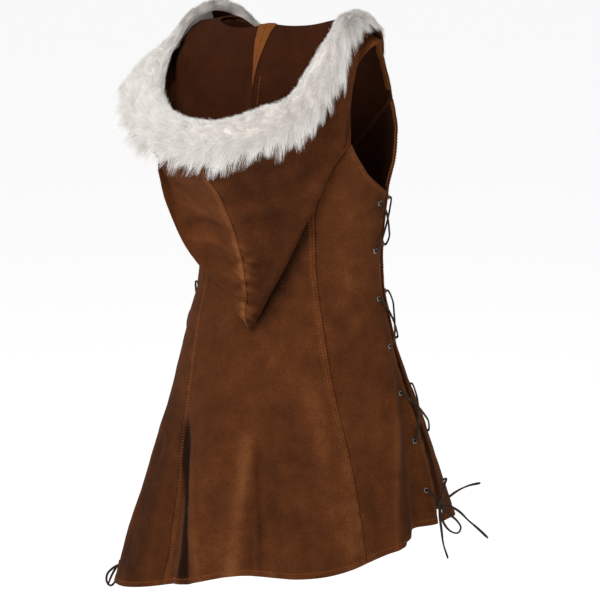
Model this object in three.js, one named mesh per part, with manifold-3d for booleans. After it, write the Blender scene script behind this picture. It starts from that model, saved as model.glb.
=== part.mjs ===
// Hooded tunic: leather panels laced at both sides, a pointed hood lying down on the back,
// and a fur strip round the hood's face edge.
// Millimetres, +Z up. The front faces -Y and the wearer's right is -X.
// The origin is between the two inner ends of the shoulder seams.
import * as THREE from 'three';
import { mergeVertices } from 'three/addons/utils/BufferGeometryUtils.js';
import Module from 'manifold-3d';

const wasm = await Module();
wasm.setup();

// ---------------------------------------------------------------- driving dimensions
const LEATHER = 1.6;            // wall of every body panel
const HOOD_LEATHER = 1.8;       // wall of the hood
const SEAM_GAP = 0.3;           // between two pieces that are sewn together
const SEAM_HALF_TURN = 0.0486;  // degrees from a seam's line to a panel's edge, half the gap
const UNDERARM_Z = -230;        // where the armholes end, and the sections start to close
const NECK_HALF_WIDTH = 80;     // middle to the inner end of a shoulder seam
const SHOULDER_SLOPE = 0.42;    // fall of a shoulder seam for each mm outwards
const NECK_RISE = 0.25;         // rise of the closing line inside the neck hole
const SHOULDER_POWER = 2.6;     // how square the shoulders round over
const HEM_Z = -780;             // height at which a seam's angle at the hem is read
const FLUTE_FULL_Z = -740;      // where a skirt flute has its full depth
const BACK_NECK_DEPTH = 62;
const FRONT_NECK_DEPTH = 86;

// Horizontal sections of the filled-out garment
const SECTION_COLUMNS = ['z', 'halfWidth', 'back', 'front', 'middle'];
const SECTIONS = [
  [-880, 274, 236, 230, -4],
  [-740, 238, 198, 193, -6],
  [-680, 221, 180, 176, -6],
  [-580, 192, 150, 147, -4],
  [-480, 164, 120, 119, 0],
  [-430, 152, 109, 109, 0],
  [-380, 142, 100, 101, 0],
  [-325, 139, 96, 98, 0],
  [-280, 142, 99, 104, 0],
  [-230, 148, 106, 114, 0],
  [-170, 158, 112, 120, 1],
  [-110, 159, 113, 115, 2],
  [-40, 154, 108, 106, 3],
  [40, 150, 100, 100, 4],
];

// The hem, as heights for each angle from the centre back; it falls towards the wearer's left
const HEM = [[-180, -778], [-150, -818], [-120, -850], [-88, -864], [-65, -856], [-41, -827],
  [-17, -787], [0, -766], [25, -757], [42, -744], [60, -727], [81, -716], [95, -717],
  [120, -728], [150, -750], [180, -778]];

// Skirt flutes: degrees from the centre back towards the wearer's right, where it starts and
// where it is full; depth at full size
const FLUTES = [
  { from: -44, angle: -37, width: 12, depth: -34, startZ: -480 },
  { from: -16, angle: -15, width: 9, depth: 12, startZ: -440 },
  { from: 6, angle: 6, width: 13, depth: -8, startZ: -480 },
  { from: 36, angle: 36, width: 12, depth: 9, startZ: -400 },
  { from: 84, angle: 62, width: 8, depth: 8, startZ: -400 },
  { from: 94, angle: 77, width: 7, depth: -24, startZ: -430 },
  { from: 108, angle: 108, width: 9, depth: 12, startZ: -450 },
  { from: 126, angle: 126, width: 9, depth: -20, startZ: -460 },
  { from: 148, angle: 148, width: 12, depth: 12, startZ: -430 },
  { from: 176, angle: 176, width: 12, depth: -16, startZ: -480 },
  { from: 204, angle: 204, width: 12, depth: 12, startZ: -420 },
  { from: 226, angle: 226, width: 9, depth: -20, startZ: -450 },
  { from: 244, angle: 244, width: 8, depth: 12, startZ: -460 },
  { from: -68, angle: -68, width: 9, depth: 8, startZ: -450 },
];

// Seams, as degrees for each height, from the armhole down to the hem
const BACK_SEAM_RIGHT = [[-880, 49], [-725, 47.8], [-656, 47.1], [-607, 45.9], [-507, 41.6],
  [-443, 39.1], [-374, 36.2], [-335, 34.3], [-301, 33.9], [-248, 33.9], [-189, 43.5], [-157, 52.6]];
const BACK_SEAM_LEFT = [[-880, -41], [-680, -42], [-611, -44], [-501, -45], [-419, -49],
  [-335, -46], [-248, -44], [-189, -49], [-157, -56]];
const FRONT_SEAM = [[-880, 148], [-740, 148], [-500, 154], [-380, 158], [-300, 160],
  [-230, 160], [-196, 158.5], [-167, 148.5], [-141, 137.5], [-111, 121]];
const LACED_EDGE_BACK = [[-880, 90], [-720, 90], [-667, 95], [-602, 98], [-532, 98],
  [-467, 97], [-395, 95], [-325, 93.5], [-236, 93]];
const LACED_EDGE_FRONT = [[-880, 95], [-720, 96], [-667, 101], [-602, 104], [-532, 104],
  [-467, 103], [-395, 101], [-325, 99], [-236, 97]];
const LEFT_TURN = 5;            // the left lacing sits this much further back

// Armhole edges
const BACK_ARMHOLE = [[-157, 52.6], [-171, 56.2], [-189, 61.9], [-206, 68.8], [-220, 78.2],
  [-236, 93]];
const FRONT_ARMHOLE = [[-111, 121], [-135, 116], [-153, 107], [-180, 102], [-222, 98.5],
  [-236, 97]];
const BACK_STRAP = [[0, 54], [0.25, 53], [0.5, 56], [0.75, 64], [1, 72]];
const FRONT_STRAP = [[0, 121], [0.3, 124], [0.6, 121], [0.8, 115], [1, 108]];
const NECK_THETA_RIGHT = 34;
const NECK_THETA_LEFT = -41;

// Lacing
const EYELET_PITCH = { right: 69.5, left: 72.5 };
const EYELET_TOP_Z = -250;
const EYELET_INSET = 17;        // from the laced edge to the middle of an eyelet
const EYELET_ROWS = { right: 7, left: 9 };
const EYELET_OUTER = 4.5;
const EYELET_BORE = 2.3;
const EYELET_HEIGHT = 0.9;
const HOLE_RADIUS = 2.4;
const HOLE_DEPTH = 12;          // of the punch, more than the leather's thickness
const EYELET_LIFT = 1.3;       // a washer's underside above the leather
const LACE_RADIUS = 1.5;

// Fur strip: its section, as distances along the leather from the edge and out of the leather
const FUR_SECTION = [
  [6, -3.2], [-1.4, -3.2], [-1.4, 1.2], [27, 1.2], [54, 1.2], [57, 5], [50, 14], [36, 22],
  [18, 24], [0, 19], [-11, 9], [-13, -2], [-5, -10], [5, -9],
];

// Hood: one row for each station, from the right end at the centre front round the back to
// the left end. face = the fur-trimmed edge, brow = where the fur ends on the leather,
// fold = the lowest line of the bag, sag = how far the outer layer hangs in, neck = the angle
// at the neckline, rise = least height of the face edge above the body, puff = the fur's share
// of its full height.
const HOOD_COLUMNS = ['face', 'brow', 'fold', 'sag', 'neck', 'rise', 'puff'];
const HOOD_STATIONS = [
  [[-10, -104, -88], [-14, -116, -132], [-14, -114, -144], 0, 176, 19, 0.6],
  [[-52, -94, -62], [-62, -110, -104], [-64, -104, -118], 0, 164, 19, 0.6],
  [[-80, -64, -30], [-96, -80, -64], [-103, -70, -82], 0, 154, 18, 0.55],
  [[-96, -28, -14], [-112, -36, -38], [-121, -30, -54], 0, 149, 17, 0.45],
  [[-98, 0, -6], [-114, 2, -30], [-122, 2, -44], 0, 144, 16, 0.4],
  [[-94, 34, -8], [-110, 38, -40], [-124, 28, -66], 0, 34, 17, 0.45],
  [[-92, 72, -22], [-108, 76, -64], [-124, 50, -112], 0, 32, 20, 0.7],
  [[-80, 110, -62], [-96, 112, -104], [-118, 78, -160], -3, 26, 26, 1],
  [[-65, 138, -95], [-78, 144, -130], [-86, 94, -234], -8, 20, 26, 1],
  [[-32, 162, -109], [-48, 174, -148], [-48, 99, -316], -20, 12, 26, 1],
  [[0, 176, -122], [-4, 199, -162], [-16, 109, -380], -28, 6, 26, 1],
  [[40, 178, -129], [36, 203, -170], [6, 114, -417], -30, 0, 26, 1],
  [[84, 170, -127], [92, 195, -168], [48, 106, -376], -24, -8, 26, 1],
  [[122, 148, -116], [146, 166, -158], [94, 110, -328], -18, -16, 26, 1],
  [[152, 112, -98], [192, 128, -132], [130, 118, -228], -22, -24, 26, 1],
  [[168, 70, -68], [214, 84, -98], [150, 88, -150], -20, -32, 26, 1],
  [[162, 38, -36], [201, 33, -70], [156, 42, -98], -12, -38, 28, 0.5],
  [[131, -2, -27], [168, -6, -60], [150, 2, -84], 0, -41, 28, 0.7],
  [[114, -40, -24], [142, -54, -58], [140, -48, -88], 0, 212, 28, 0.65],
  [[84, -76, -52], [100, -98, -88], [97, -92, -116], 0, 203, 18, 0.6],
  [[46, -98, -74], [52, -114, -118], [52, -108, -130], 0, 193, 19, 0.6],
  [[10, -104, -88], [14, -116, -132], [14, -114, -144], 0, 184, 19, 0.6],
].map((row) => Object.fromEntries(HOOD_COLUMNS.map((name, k) => [name, row[k]])));
const HOOD_SEAM_STATION = 11;
const NECK_LIFT = 4;
const HOOD_LIFT = 6;            // under layer above the back panel
const HOOD_SHOULDER_LIFT = 4.5;   // so much more over the shoulders
const SHOULDER_END_LIFT = 2;
const SIDE_SHARE = 0.88;        // beyond this share of the half width a point is beside the body
const SIDE_DROP = 25;           // if it is at least so far below the shoulder line
const SIDE_FADE = 0.04;         // the lifts fade out over this share of the half width
const BROW_LIFT = 15;           // least height of the leather where the fur ends

const MATERIALS = {
  leather: new THREE.MeshStandardMaterial({ color: 0x4b2a16, roughness: 0.85, metalness: 0 }),
  turnedLeather: new THREE.MeshStandardMaterial({ color: 0x704626, roughness: 0.8, metalness: 0 }),
  fur: new THREE.MeshStandardMaterial({ color: 0xe9e6e2, roughness: 0.95, metalness: 0 }),
  thong: new THREE.MeshStandardMaterial({ color: 0x372a21, roughness: 0.7, metalness: 0 }),
  eyelet: new THREE.MeshStandardMaterial({ color: 0x6f6c69, roughness: 0.35, metalness: 1 }),
};

// ---------------------------------------------------------------- small helpers
const V = (x, y, z) => new THREE.Vector3(x, y, z);
const lerp = (a, b, t) => a + (b - a) * t;
const clamp = (x, a, b) => Math.min(b, Math.max(a, x));
const smoothstep = (t) => t * t * (3 - 2 * t);
const rad = THREE.MathUtils.degToRad;

// Smooth curve through a table whose first column rises
function curveAt(rows, x, column = 1) {
  const last = rows.length - 1;
  const at = clamp(x, rows[0][0], rows[last][0]);
  let i = 0;
  while (i < last - 1 && at > rows[i + 1][0]) i += 1;
  const slope = (k) => (rows[k + 1][column] - rows[k][column]) / (rows[k + 1][0] - rows[k][0]);
  const tangent = (k) => {
    if (k === 0) return slope(0);
    if (k === last) return slope(last - 1);
    return (slope(k - 1) + slope(k)) / 2;
  };
  const h = rows[i + 1][0] - rows[i][0];
  const t = (at - rows[i][0]) / h;
  return (2 * t ** 3 - 3 * t ** 2 + 1) * rows[i][column]
    + (t ** 3 - 2 * t ** 2 + t) * h * tangent(i)
    + (3 * t ** 2 - 2 * t ** 3) * rows[i + 1][column]
    + (t ** 3 - t ** 2) * h * tangent(i + 1);
}

const rising = (rows) => [...rows].sort((a, b) => a[0] - b[0]);
const section = (z, name) => curveAt(SECTIONS, z, SECTION_COLUMNS.indexOf(name));

// ---------------------------------------------------------------- the filled-out form
function shoulderZ(x) {
  const out = Math.abs(x) - NECK_HALF_WIDTH;
  return out > 0 ? -SHOULDER_SLOPE * out : -NECK_RISE * out;
}

function flute(theta, z) {
  let sum = 0;
  for (const f of FLUTES) {
    const grown = clamp((f.startZ - z) / (f.startZ - FLUTE_FULL_Z), 0, 1.15) ** 1.3;
    const angle = lerp(f.from, f.angle, Math.min(1, grown));
    const away = ((theta - angle + 900) % 360) - 180;
    sum += f.depth * grown * Math.exp(-((away / f.width) ** 2));
  }
  return sum;
}

// Outer face of the garment at an angle (degrees) and a height
function form(theta, z) {
  const t = rad(theta);
  const fl = flute(theta, z);
  const x = section(z, 'middle') - (section(z, 'halfWidth') + fl) * Math.sin(t);
  const depth = (Math.cos(t) > 0 ? section(z, 'back') : section(z, 'front')) + fl;
  const tau = clamp((z - UNDERARM_Z) / (shoulderZ(x) - UNDERARM_Z), 0, 1);
  const closing = (1 - tau ** SHOULDER_POWER) ** (1 / SHOULDER_POWER);
  const side = z > UNDERARM_Z ? Math.sign(Math.cos(t)) * SEAM_GAP / 2 : 0;
  return V(x, depth * Math.cos(t) * closing + side, z);
}

// The same face above the underarm, by an angle phi from the underarm (0) to the shoulder (90)
function upper(theta, phi) {
  const t = rad(theta);
  const tau = Math.sin(rad(phi)) ** (2 / SHOULDER_POWER);
  const closing = phi > 89.99 ? 0 : Math.cos(rad(phi)) ** (2 / SHOULDER_POWER);
  let z = UNDERARM_Z * (1 - tau);
  let x = 0;
  for (let k = 0; k < 4; k += 1) {
    x = section(z, 'middle') - section(z, 'halfWidth') * Math.sin(t);
    z = UNDERARM_Z + tau * (shoulderZ(x) - UNDERARM_Z);
  }
  const depth = Math.cos(t) > 0 ? section(z, 'back') : section(z, 'front');
  return V(x, depth * Math.cos(t) * closing + Math.sign(Math.cos(t)) * SEAM_GAP / 2, z);
}

function phiAt(theta, z) {
  const x = form(theta, z).x;
  const tau = clamp((z - UNDERARM_Z) / (shoulderZ(x) - UNDERARM_Z), 0, 1);
  return THREE.MathUtils.radToDeg(Math.asin(tau ** (SHOULDER_POWER / 2)));
}

// phi of the neckline: 90 at the ends of the shoulder seams, less between them
function neckPhi(theta) {
  const back = Math.cos(rad(theta)) > 0;
  const from = back ? NECK_THETA_LEFT : 180 - NECK_THETA_RIGHT;
  const to = back ? NECK_THETA_RIGHT : 180 - NECK_THETA_LEFT;
  const u = (2 * (theta - from)) / (to - from) - 1;
  if (Math.abs(u) >= 1) return 90;
  const reach = (back ? BACK_NECK_DEPTH : FRONT_NECK_DEPTH) * Math.sqrt(1 - u * u);
  const depth = section(-20, back ? 'back' : 'front') * Math.abs(Math.cos(rad(theta)));
  const closing = clamp(reach / depth, 0, 0.999);
  return THREE.MathUtils.radToDeg(Math.acos(closing ** (SHOULDER_POWER / 2)));
}

function normalAt(surface, a, b, stepA = 0.5, stepB = 0.5) {
  const along = surface(a + stepA, b).sub(surface(a - stepA, b));
  const up = surface(a, b + stepB).sub(surface(a, b - stepB));
  return along.cross(up).normalize();
}

function formNormal(theta, z) {
  const n = normalAt(form, theta, z, 0.5, 2).negate();
  const outward = V(-Math.sin(rad(theta)), Math.cos(rad(theta)), 0);
  return n.dot(outward) < 0 ? n.negate() : n;
}

function upperNormal(theta, phi) {
  const p = clamp(phi, 1, 88);
  const n = normalAt(upper, theta, p);
  const outward = V(-Math.sin(rad(theta)) * 0.6, Math.cos(rad(theta)) * 0.6, 0.8);
  if (phi > 89) return V(0, 0, 1);
  return n.dot(outward) < 0 ? n.negate() : n;
}

// ---------------------------------------------------------------- solids from grids
// A closed wall: outer[i][j] and inner[i][j] are its two faces
function wall(outer, inner) {
  const columns = outer.length;
  const rows = outer[0].length;
  const triangles = [];
  const quad = (a, b, c, d) => triangles.push(a, b, c, a, c, d);
  for (let i = 0; i + 1 < columns; i += 1) {
    for (let j = 0; j + 1 < rows; j += 1) {
      quad(outer[i][j], outer[i + 1][j], outer[i + 1][j + 1], outer[i][j + 1]);
      quad(inner[i][j], inner[i][j + 1], inner[i + 1][j + 1], inner[i + 1][j]);
    }
  }
  for (let i = 0; i + 1 < columns; i += 1) {
    quad(outer[i + 1][0], outer[i][0], inner[i][0], inner[i + 1][0]);
    const j = rows - 1;
    quad(outer[i][j], outer[i + 1][j], inner[i + 1][j], inner[i][j]);
  }
  for (let j = 0; j + 1 < rows; j += 1) {
    quad(outer[0][j], outer[0][j + 1], inner[0][j + 1], inner[0][j]);
    const i = columns - 1;
    quad(outer[i][j + 1], outer[i][j], inner[i][j], inner[i][j + 1]);
  }
  return facingOut(solidFrom(triangles));
}

// A closed tube: rings[i] are sections with the same number of points
function loft(rings) {
  const triangles = [];
  const count = rings[0].length;
  for (let i = 0; i + 1 < rings.length; i += 1) {
    for (let k = 0; k < count; k += 1) {
      const m = (k + 1) % count;
      triangles.push(rings[i][k], rings[i][m], rings[i + 1][m]);
      triangles.push(rings[i][k], rings[i + 1][m], rings[i + 1][k]);
    }
  }
  const cap = (ring, turned) => {
    const flat = flatten(ring);
    for (const [a, b, c] of THREE.ShapeUtils.triangulateShape(flat, [])) {
      if (turned) triangles.push(ring[a], ring[c], ring[b]);
      else triangles.push(ring[a], ring[b], ring[c]);
    }
  };
  const signedArea = THREE.ShapeUtils.area(flatten(rings[0]));
  cap(rings[0], signedArea > 0);
  cap(rings[rings.length - 1], THREE.ShapeUtils.area(flatten(rings[rings.length - 1])) < 0);
  return facingOut(solidFrom(triangles));
}

// A ring of 3-D points seen square on, for cutting its cap into triangles
function flatten(ring) {
  const normal = V(0, 0, 0);
  ring.forEach((p, k) => normal.add(p.clone().cross(ring[(k + 1) % ring.length])));
  normal.normalize();
  const across = ring[1].clone().sub(ring[0]).normalize();
  const up = normal.clone().cross(across);
  return ring.map((p) => new THREE.Vector2(p.dot(across), p.dot(up)));
}

function solidFrom(points) {
  const geometry = new THREE.BufferGeometry();
  const flat = new Float32Array(points.length * 3);
  points.forEach((p, k) => p.toArray(flat, 3 * k));
  geometry.setAttribute('position', new THREE.BufferAttribute(flat, 3));
  return mergeVertices(geometry, 1e-4);
}

function volume(geometry) {
  const p = geometry.attributes.position;
  const index = geometry.index.array;
  let sum = 0;
  for (let k = 0; k < index.length; k += 3) {
    const [a, b, c] = [0, 1, 2].map((m) => new THREE.Vector3().fromBufferAttribute(p, index[k + m]));
    sum += a.dot(b.cross(c));
  }
  return sum;
}

function facingOut(geometry) {
  if (volume(geometry) > 0) return geometry;
  const index = geometry.index.array;
  for (let k = 0; k < index.length; k += 3) {
    [index[k + 1], index[k + 2]] = [index[k + 2], index[k + 1]];
  }
  return geometry;
}

function toManifold(geometry) {
  const bare = geometry.clone();
  bare.deleteAttribute('normal');
  bare.deleteAttribute('uv');
  const merged = mergeVertices(bare, 1e-4);
  return new wasm.Manifold(new wasm.Mesh({
    numProp: 3,
    vertProperties: new Float32Array(merged.attributes.position.array),
    triVerts: new Uint32Array(merged.index.array),
  }));
}

function fromManifold(solid) {
  const mesh = solid.getMesh();
  const geometry = new THREE.BufferGeometry();
  geometry.setAttribute('position', new THREE.BufferAttribute(mesh.vertProperties, 3));
  geometry.setIndex(new THREE.BufferAttribute(mesh.triVerts, 1));
  return geometry;
}

const tunic = new THREE.Group();
function add(name, geometry, material) {
  const mesh = new THREE.Mesh(geometry, material);
  mesh.name = name;
  tunic.add(mesh);
}

// ---------------------------------------------------------------- body panels
const LOWER_ROWS = 13;
const UPPER_ROWS = 7;
const CENTRE_COLUMNS = 12;
const SIDE_COLUMNS = 9;
const SHOULDER_COLUMNS = 2;     // at each end of a centre panel, along a shoulder seam

const hemZ = (theta) => curveAt(HEM, ((theta + 540) % 360) - 180);
const mirrored = (rows) => rows.map(([z, theta]) => [z, -theta]);
const turned = (rows, by) => rows.map(([z, theta]) => [z, theta + by]);

// A seam or edge by v, from the hem (0) up to its top (1)
function edgeLine(rows, topZ, shift = 0) {
  const sorted = rising(rows);
  const start = hemZ(curveAt(sorted, HEM_Z));
  return (v) => {
    const z = lerp(start, topZ, v);
    return [curveAt(sorted, z) + shift, z];
  };
}

// A patch of (angle, height) between four edges
function coons(left, right, bottom, top, columns, rows) {
  const grid = [];
  for (let i = 0; i <= columns; i += 1) {
    const u = i / columns;
    const line = [];
    for (let j = 0; j <= rows; j += 1) {
      const v = j / rows;
      line.push([0, 1].map((k) => lerp(left(v)[k], right(v)[k], u)
        + lerp(bottom(u)[k], top(u)[k], v)
        - lerp(lerp(left(0)[k], right(0)[k], u), lerp(left(1)[k], right(1)[k], u), v)));
    }
    grid.push(line);
  }
  return grid;
}

const straight = (a, b) => (u) => [lerp(a[0], b[0], u), lerp(a[1], b[1], u)];
const hemLine = (a, b) => (u) => {
  const theta = lerp(a[0], b[0], u);
  return [theta, hemZ(theta)];
};

// The panel between two edges that both reach the armhole, with the straps above it
function middlePanel(leftRows, rightRows, topZ, strap, side, columns) {
  const left = edgeLine(leftRows, topZ, SEAM_HALF_TURN);
  const right = edgeLine(rightRows, topZ, -SEAM_HALF_TURN);
  const lower = coons(left, right, hemLine(left(0), right(0)), straight(left(1), right(1)),
    columns, LOWER_ROWS);
  const outer = lower.map((line) => line.map(([theta, z]) => form(theta, z)));
  const inner = lower.map((line, i) => line.map(([theta, z], j) => (
    outer[i][j].clone().addScaledVector(formNormal(theta, z), -LEATHER))));
  const fromTheta = left(1)[0];
  const toTheta = right(1)[0];
  const neck = side === 'back' ? [NECK_THETA_LEFT, NECK_THETA_RIGHT]
    : [180 - NECK_THETA_RIGHT, 180 - NECK_THETA_LEFT];
  for (let i = 0; i <= columns; i += 1) {
    const u = i / columns;
    const start = lerp(fromTheta, toTheta, u);
    const startPhi = phiAt(start, topZ);
    for (let j = 1; j <= UPPER_ROWS; j += 1) {
      const t = j / UPPER_ROWS;
      const edges = [strap.left(t), strap.right(t)];
      const level = lerp(edges[0], edges[1], u);
      const topTheta = strapTheta(i, columns, [strap.left(1), strap.right(1)], neck);
      const theta = lerp(level, topTheta + level - lerp(strap.left(1), strap.right(1), u),
        smoothstep(t));
      const phi = lerp(startPhi, neckPhi(topTheta), t);
      outer[i].push(upper(theta, phi));
      inner[i].push(upper(theta, phi).addScaledVector(upperNormal(theta, phi), -LEATHER));
    }
  }
  return { geometry: wall(outer, inner), grid: lower, outer, inner };
}

// At the shoulder two columns lie on the ends of the neckline
function strapTheta(i, columns, edges, neck) {
  const from = SHOULDER_COLUMNS;
  const to = columns - SHOULDER_COLUMNS;
  if (i <= from) return lerp(edges[0], neck[0], i / from);
  if (i >= to) return lerp(neck[1], edges[1], (i - to) / from);
  return lerp(neck[0], neck[1], (i - from) / (to - from));
}

// The panel from a seam to the laced edge; its top is the armhole
function sidePanel(seamRows, seamTop, edgeRows, edgeTop, armhole, columns, towards) {
  const half = SEAM_HALF_TURN * towards;
  const seam = edgeLine(seamRows, seamTop, half);
  const edge = edgeLine(edgeRows, edgeTop);
  const byHeight = rising(armhole);
  const top = (u) => {
    const z = lerp(seamTop, edgeTop, u);
    return [curveAt(byHeight, z) + half * (1 - u), z];
  };
  const grid = coons(seam, edge, hemLine(seam(0), edge(0)), top, columns, LOWER_ROWS);
  const outer = grid.map((line) => line.map(([theta, z]) => form(theta, z)));
  const inner = grid.map((line, i) => line.map(([theta, z], j) => (
    outer[i][j].clone().addScaledVector(formNormal(theta, z), -LEATHER))));
  return { geometry: wall(outer, inner), grid, outer, inner };
}

const BACK_TOP = -157;
const FRONT_TOP = -111;
const EDGE_TOP = -236;

const strapEdge = (rows, sign, offset, start) => (t) => {
  const shape = curveAt(rows, t);
  return sign * (start + (shape - rows[0][1])) + offset;
};

const backStraps = {
  left: strapEdge(BACK_STRAP, -1, 0, 56),
  right: strapEdge(BACK_STRAP, 1, 0, 52.6),
};
const frontStraps = {
  left: strapEdge(FRONT_STRAP, 1, 0, 121),
  right: strapEdge(FRONT_STRAP, -1, 360, 121),
};

const leftBackEdge = turned(mirrored(LACED_EDGE_BACK), LEFT_TURN);
const leftFrontEdge = turned(mirrored(LACED_EDGE_FRONT), 360 + LEFT_TURN);
const leftFrontSeam = turned(mirrored(FRONT_SEAM), 360);
const leftBackArmhole = [[-157, -56], [-171, -59], [-189, -63.5], [-206, -69], [-220, -77],
  [-236, -88]];
const leftFrontArmhole = turned(mirrored(FRONT_ARMHOLE), 360)
  .map(([z, theta], k, rows) => [z, theta + (LEFT_TURN * k) / (rows.length - 1)]);

const panels = {
  centre_back: middlePanel(BACK_SEAM_LEFT, BACK_SEAM_RIGHT, BACK_TOP, backStraps, 'back',
    CENTRE_COLUMNS),
  side_back_right: sidePanel(BACK_SEAM_RIGHT, BACK_TOP, LACED_EDGE_BACK, EDGE_TOP,
    BACK_ARMHOLE, SIDE_COLUMNS, 1),
  side_back_left: sidePanel(BACK_SEAM_LEFT, BACK_TOP, leftBackEdge, EDGE_TOP,
    leftBackArmhole, SIDE_COLUMNS, -1),
  centre_front: middlePanel(FRONT_SEAM, leftFrontSeam, FRONT_TOP, frontStraps, 'front',
    CENTRE_COLUMNS),
  side_front_right: sidePanel(FRONT_SEAM, FRONT_TOP, LACED_EDGE_FRONT, EDGE_TOP,
    FRONT_ARMHOLE, SIDE_COLUMNS, -1),
  side_front_left: sidePanel(leftFrontSeam, FRONT_TOP, leftFrontEdge, EDGE_TOP,
    leftFrontArmhole, SIDE_COLUMNS, 1),
};

// ---------------------------------------------------------------- eyelets and their holes
// The point of a panel's outer face at an angle and a height, with the face's direction
function onPanel(panel, theta, z) {
  const { grid, outer } = panel;
  for (let i = 0; i + 1 < grid.length; i += 1) {
    for (let j = 0; j + 1 < grid[0].length; j += 1) {
      for (const corners of [[[i, j], [i + 1, j], [i + 1, j + 1]], [[i, j], [i + 1, j + 1], [i, j + 1]]]) {
        const [a, b, c] = corners.map(([m, n]) => V(grid[m][n][0], grid[m][n][1], 0));
        const [pa, pb, pc] = corners.map(([m, n]) => outer[m][n]);
        const face = new THREE.Triangle(a, b, c);
        const share = face.getBarycoord(V(theta, z, 0), V(0, 0, 0));
        if (share && Math.min(share.x, share.y, share.z) > -1e-6) {
          const at = V(0, 0, 0).addScaledVector(pa, share.x).addScaledVector(pb, share.y)
            .addScaledVector(pc, share.z);
          const out = pb.clone().sub(pa).cross(pc.clone().sub(pa)).normalize();
          if (out.dot(formNormal(theta, z)) < 0) out.negate();
          return { at, out, theta, z };
        }
      }
    }
  }
  return { at: form(theta, z), out: formNormal(theta, z), theta, z };
}

// An eyelet's middle on the wall, with the wall's outward direction there
function eyeletSite(side, part, row) {
  const z = EYELET_TOP_Z - EYELET_PITCH[side] * row;
  const rows = {
    right: { back: LACED_EDGE_BACK, front: LACED_EDGE_FRONT },
    left: { back: leftBackEdge, front: leftFrontEdge },
  }[side][part];
  const edge = curveAt(rising(rows), z);
  const away = (side === 'right' ? 1 : -1) * (part === 'back' ? -1 : 1);
  let theta = edge;
  while (form(theta, z).distanceTo(form(edge, z)) < EYELET_INSET) theta += away * 0.1;
  return onPanel(panels[`side_${part}_${side}`], theta, z);
}

function stand(geometry, site, lift) {
  geometry.applyQuaternion(new THREE.Quaternion().setFromUnitVectors(V(0, 1, 0), site.out));
  geometry.translate(...site.at.clone().addScaledVector(site.out, lift).toArray());
  return geometry;
}

function eyelet(site) {
  const profile = [[EYELET_BORE, 0], [EYELET_OUTER, 0], [EYELET_OUTER, EYELET_HEIGHT / 2],
    [EYELET_BORE, EYELET_HEIGHT], [EYELET_BORE, 0]].map(([r, y]) => new THREE.Vector2(r, y));
  const ring = new THREE.LatheGeometry(profile, 8);
  return stand(ring, site, EYELET_LIFT);
}

const sites = { right: [], left: [] };
for (const side of ['right', 'left']) {
  for (let row = 0; row < EYELET_ROWS[side]; row += 1) {
    sites[side].push({
      back: eyeletSite(side, 'back', row),
      front: eyeletSite(side, 'front', row),
    });
  }
}

function punched(name, part, side) {
  let solid = toManifold(panels[name].geometry);
  for (const pair of sites[side]) {
    const hole = new THREE.CylinderGeometry(HOLE_RADIUS, HOLE_RADIUS, HOLE_DEPTH, 8);
    solid = solid.subtract(toManifold(stand(hole, pair[part], 0)));
  }
  return fromManifold(solid);
}

for (const [name, panel] of Object.entries(panels)) {
  const [place, part, side] = name.split('_');
  const laced = place === 'side';
  add(name, laced ? punched(name, part, side) : panel.geometry, MATERIALS.leather);
}
for (const side of ['right', 'left']) {
  sites[side].forEach((pair, row) => {
    for (const part of ['back', 'front']) {
      add(`eyelet_${side}_${part}_${row + 1}`, eyelet(pair[part]), MATERIALS.eyelet);
    }
  });
}

// ---------------------------------------------------------------- laces
const LACE_SIDES = 5;
const LACE_OUT = 4.2;           // lace middle above the wall just outside an eyelet
const LACE_IN = -6.5;           // and just inside it
const LACE_IN_MIDDLE = -8;      // halfway between two eyelets
const CROSSING_OVER = 9.5;
const CROSSING_UNDER = 5;

// A round cord through the given points, its section carried along without twist
function sweep(points, radius, sides = LACE_SIDES) {
  const rings = [];
  let across = null;
  points.forEach((p, k) => {
    const before = points[Math.max(0, k - 1)];
    const after = points[Math.min(points.length - 1, k + 1)];
    const along = after.clone().sub(before).normalize();
    if (!across) across = Math.abs(along.z) < 0.9 ? V(0, 0, 1) : V(1, 0, 0);
    across.addScaledVector(along, -across.dot(along)).normalize();
    const other = along.clone().cross(across);
    const ring = [];
    for (let m = 0; m < sides; m += 1) {
      const a = (2 * Math.PI * m) / sides;
      ring.push(p.clone().addScaledVector(across, radius * Math.cos(a))
        .addScaledVector(other, radius * Math.sin(a)));
    }
    rings.push(ring);
    across = across.clone();
  });
  return loft(rings);
}

const through = (site, outwards) => {
  const heights = [LACE_IN, LACE_IN * 0.45, LACE_OUT * 0.5, LACE_OUT];
  const ordered = outwards ? heights : heights.reverse();
  return ordered.map((h) => site.at.clone().addScaledVector(site.out, h));
};

// A straight run between two points, kept at least so far outside (or inside) the wall
function run(from, to, thetas, lift, least) {
  return [0.25, 0.5, 0.75].map((t) => {
    const p = from.clone().lerp(to, t);
    const out = formNormal(lerp(...thetas, t), p.z);
    p.addScaledVector(out, lift * Math.sin(Math.PI * t));
    const clear = p.clone().sub(form(lerp(...thetas, t), p.z)).dot(out);
    const short = least > 0 ? Math.max(0, least - clear) : Math.min(0, least - clear);
    return p.addScaledVector(out, short);
  });
}

function between(a, b, start, height) {
  const from = a.at.clone().addScaledVector(a.out, start);
  const to = b.at.clone().addScaledVector(b.out, start);
  const thetas = [positive(a.theta), positive(b.theta)];
  return run(from, to, thetas, height - start, start > 0 ? height : start);
}

const positive = (theta) => (theta + 360) % 360;
function angleOf(p) {
  const sine = (section(p.z, 'middle') - p.x) / section(p.z, 'halfWidth');
  const cosine = p.y / section(p.z, p.y > 0 ? 'back' : 'front');
  return positive(THREE.MathUtils.radToDeg(Math.atan2(sine, cosine)));
}

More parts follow.
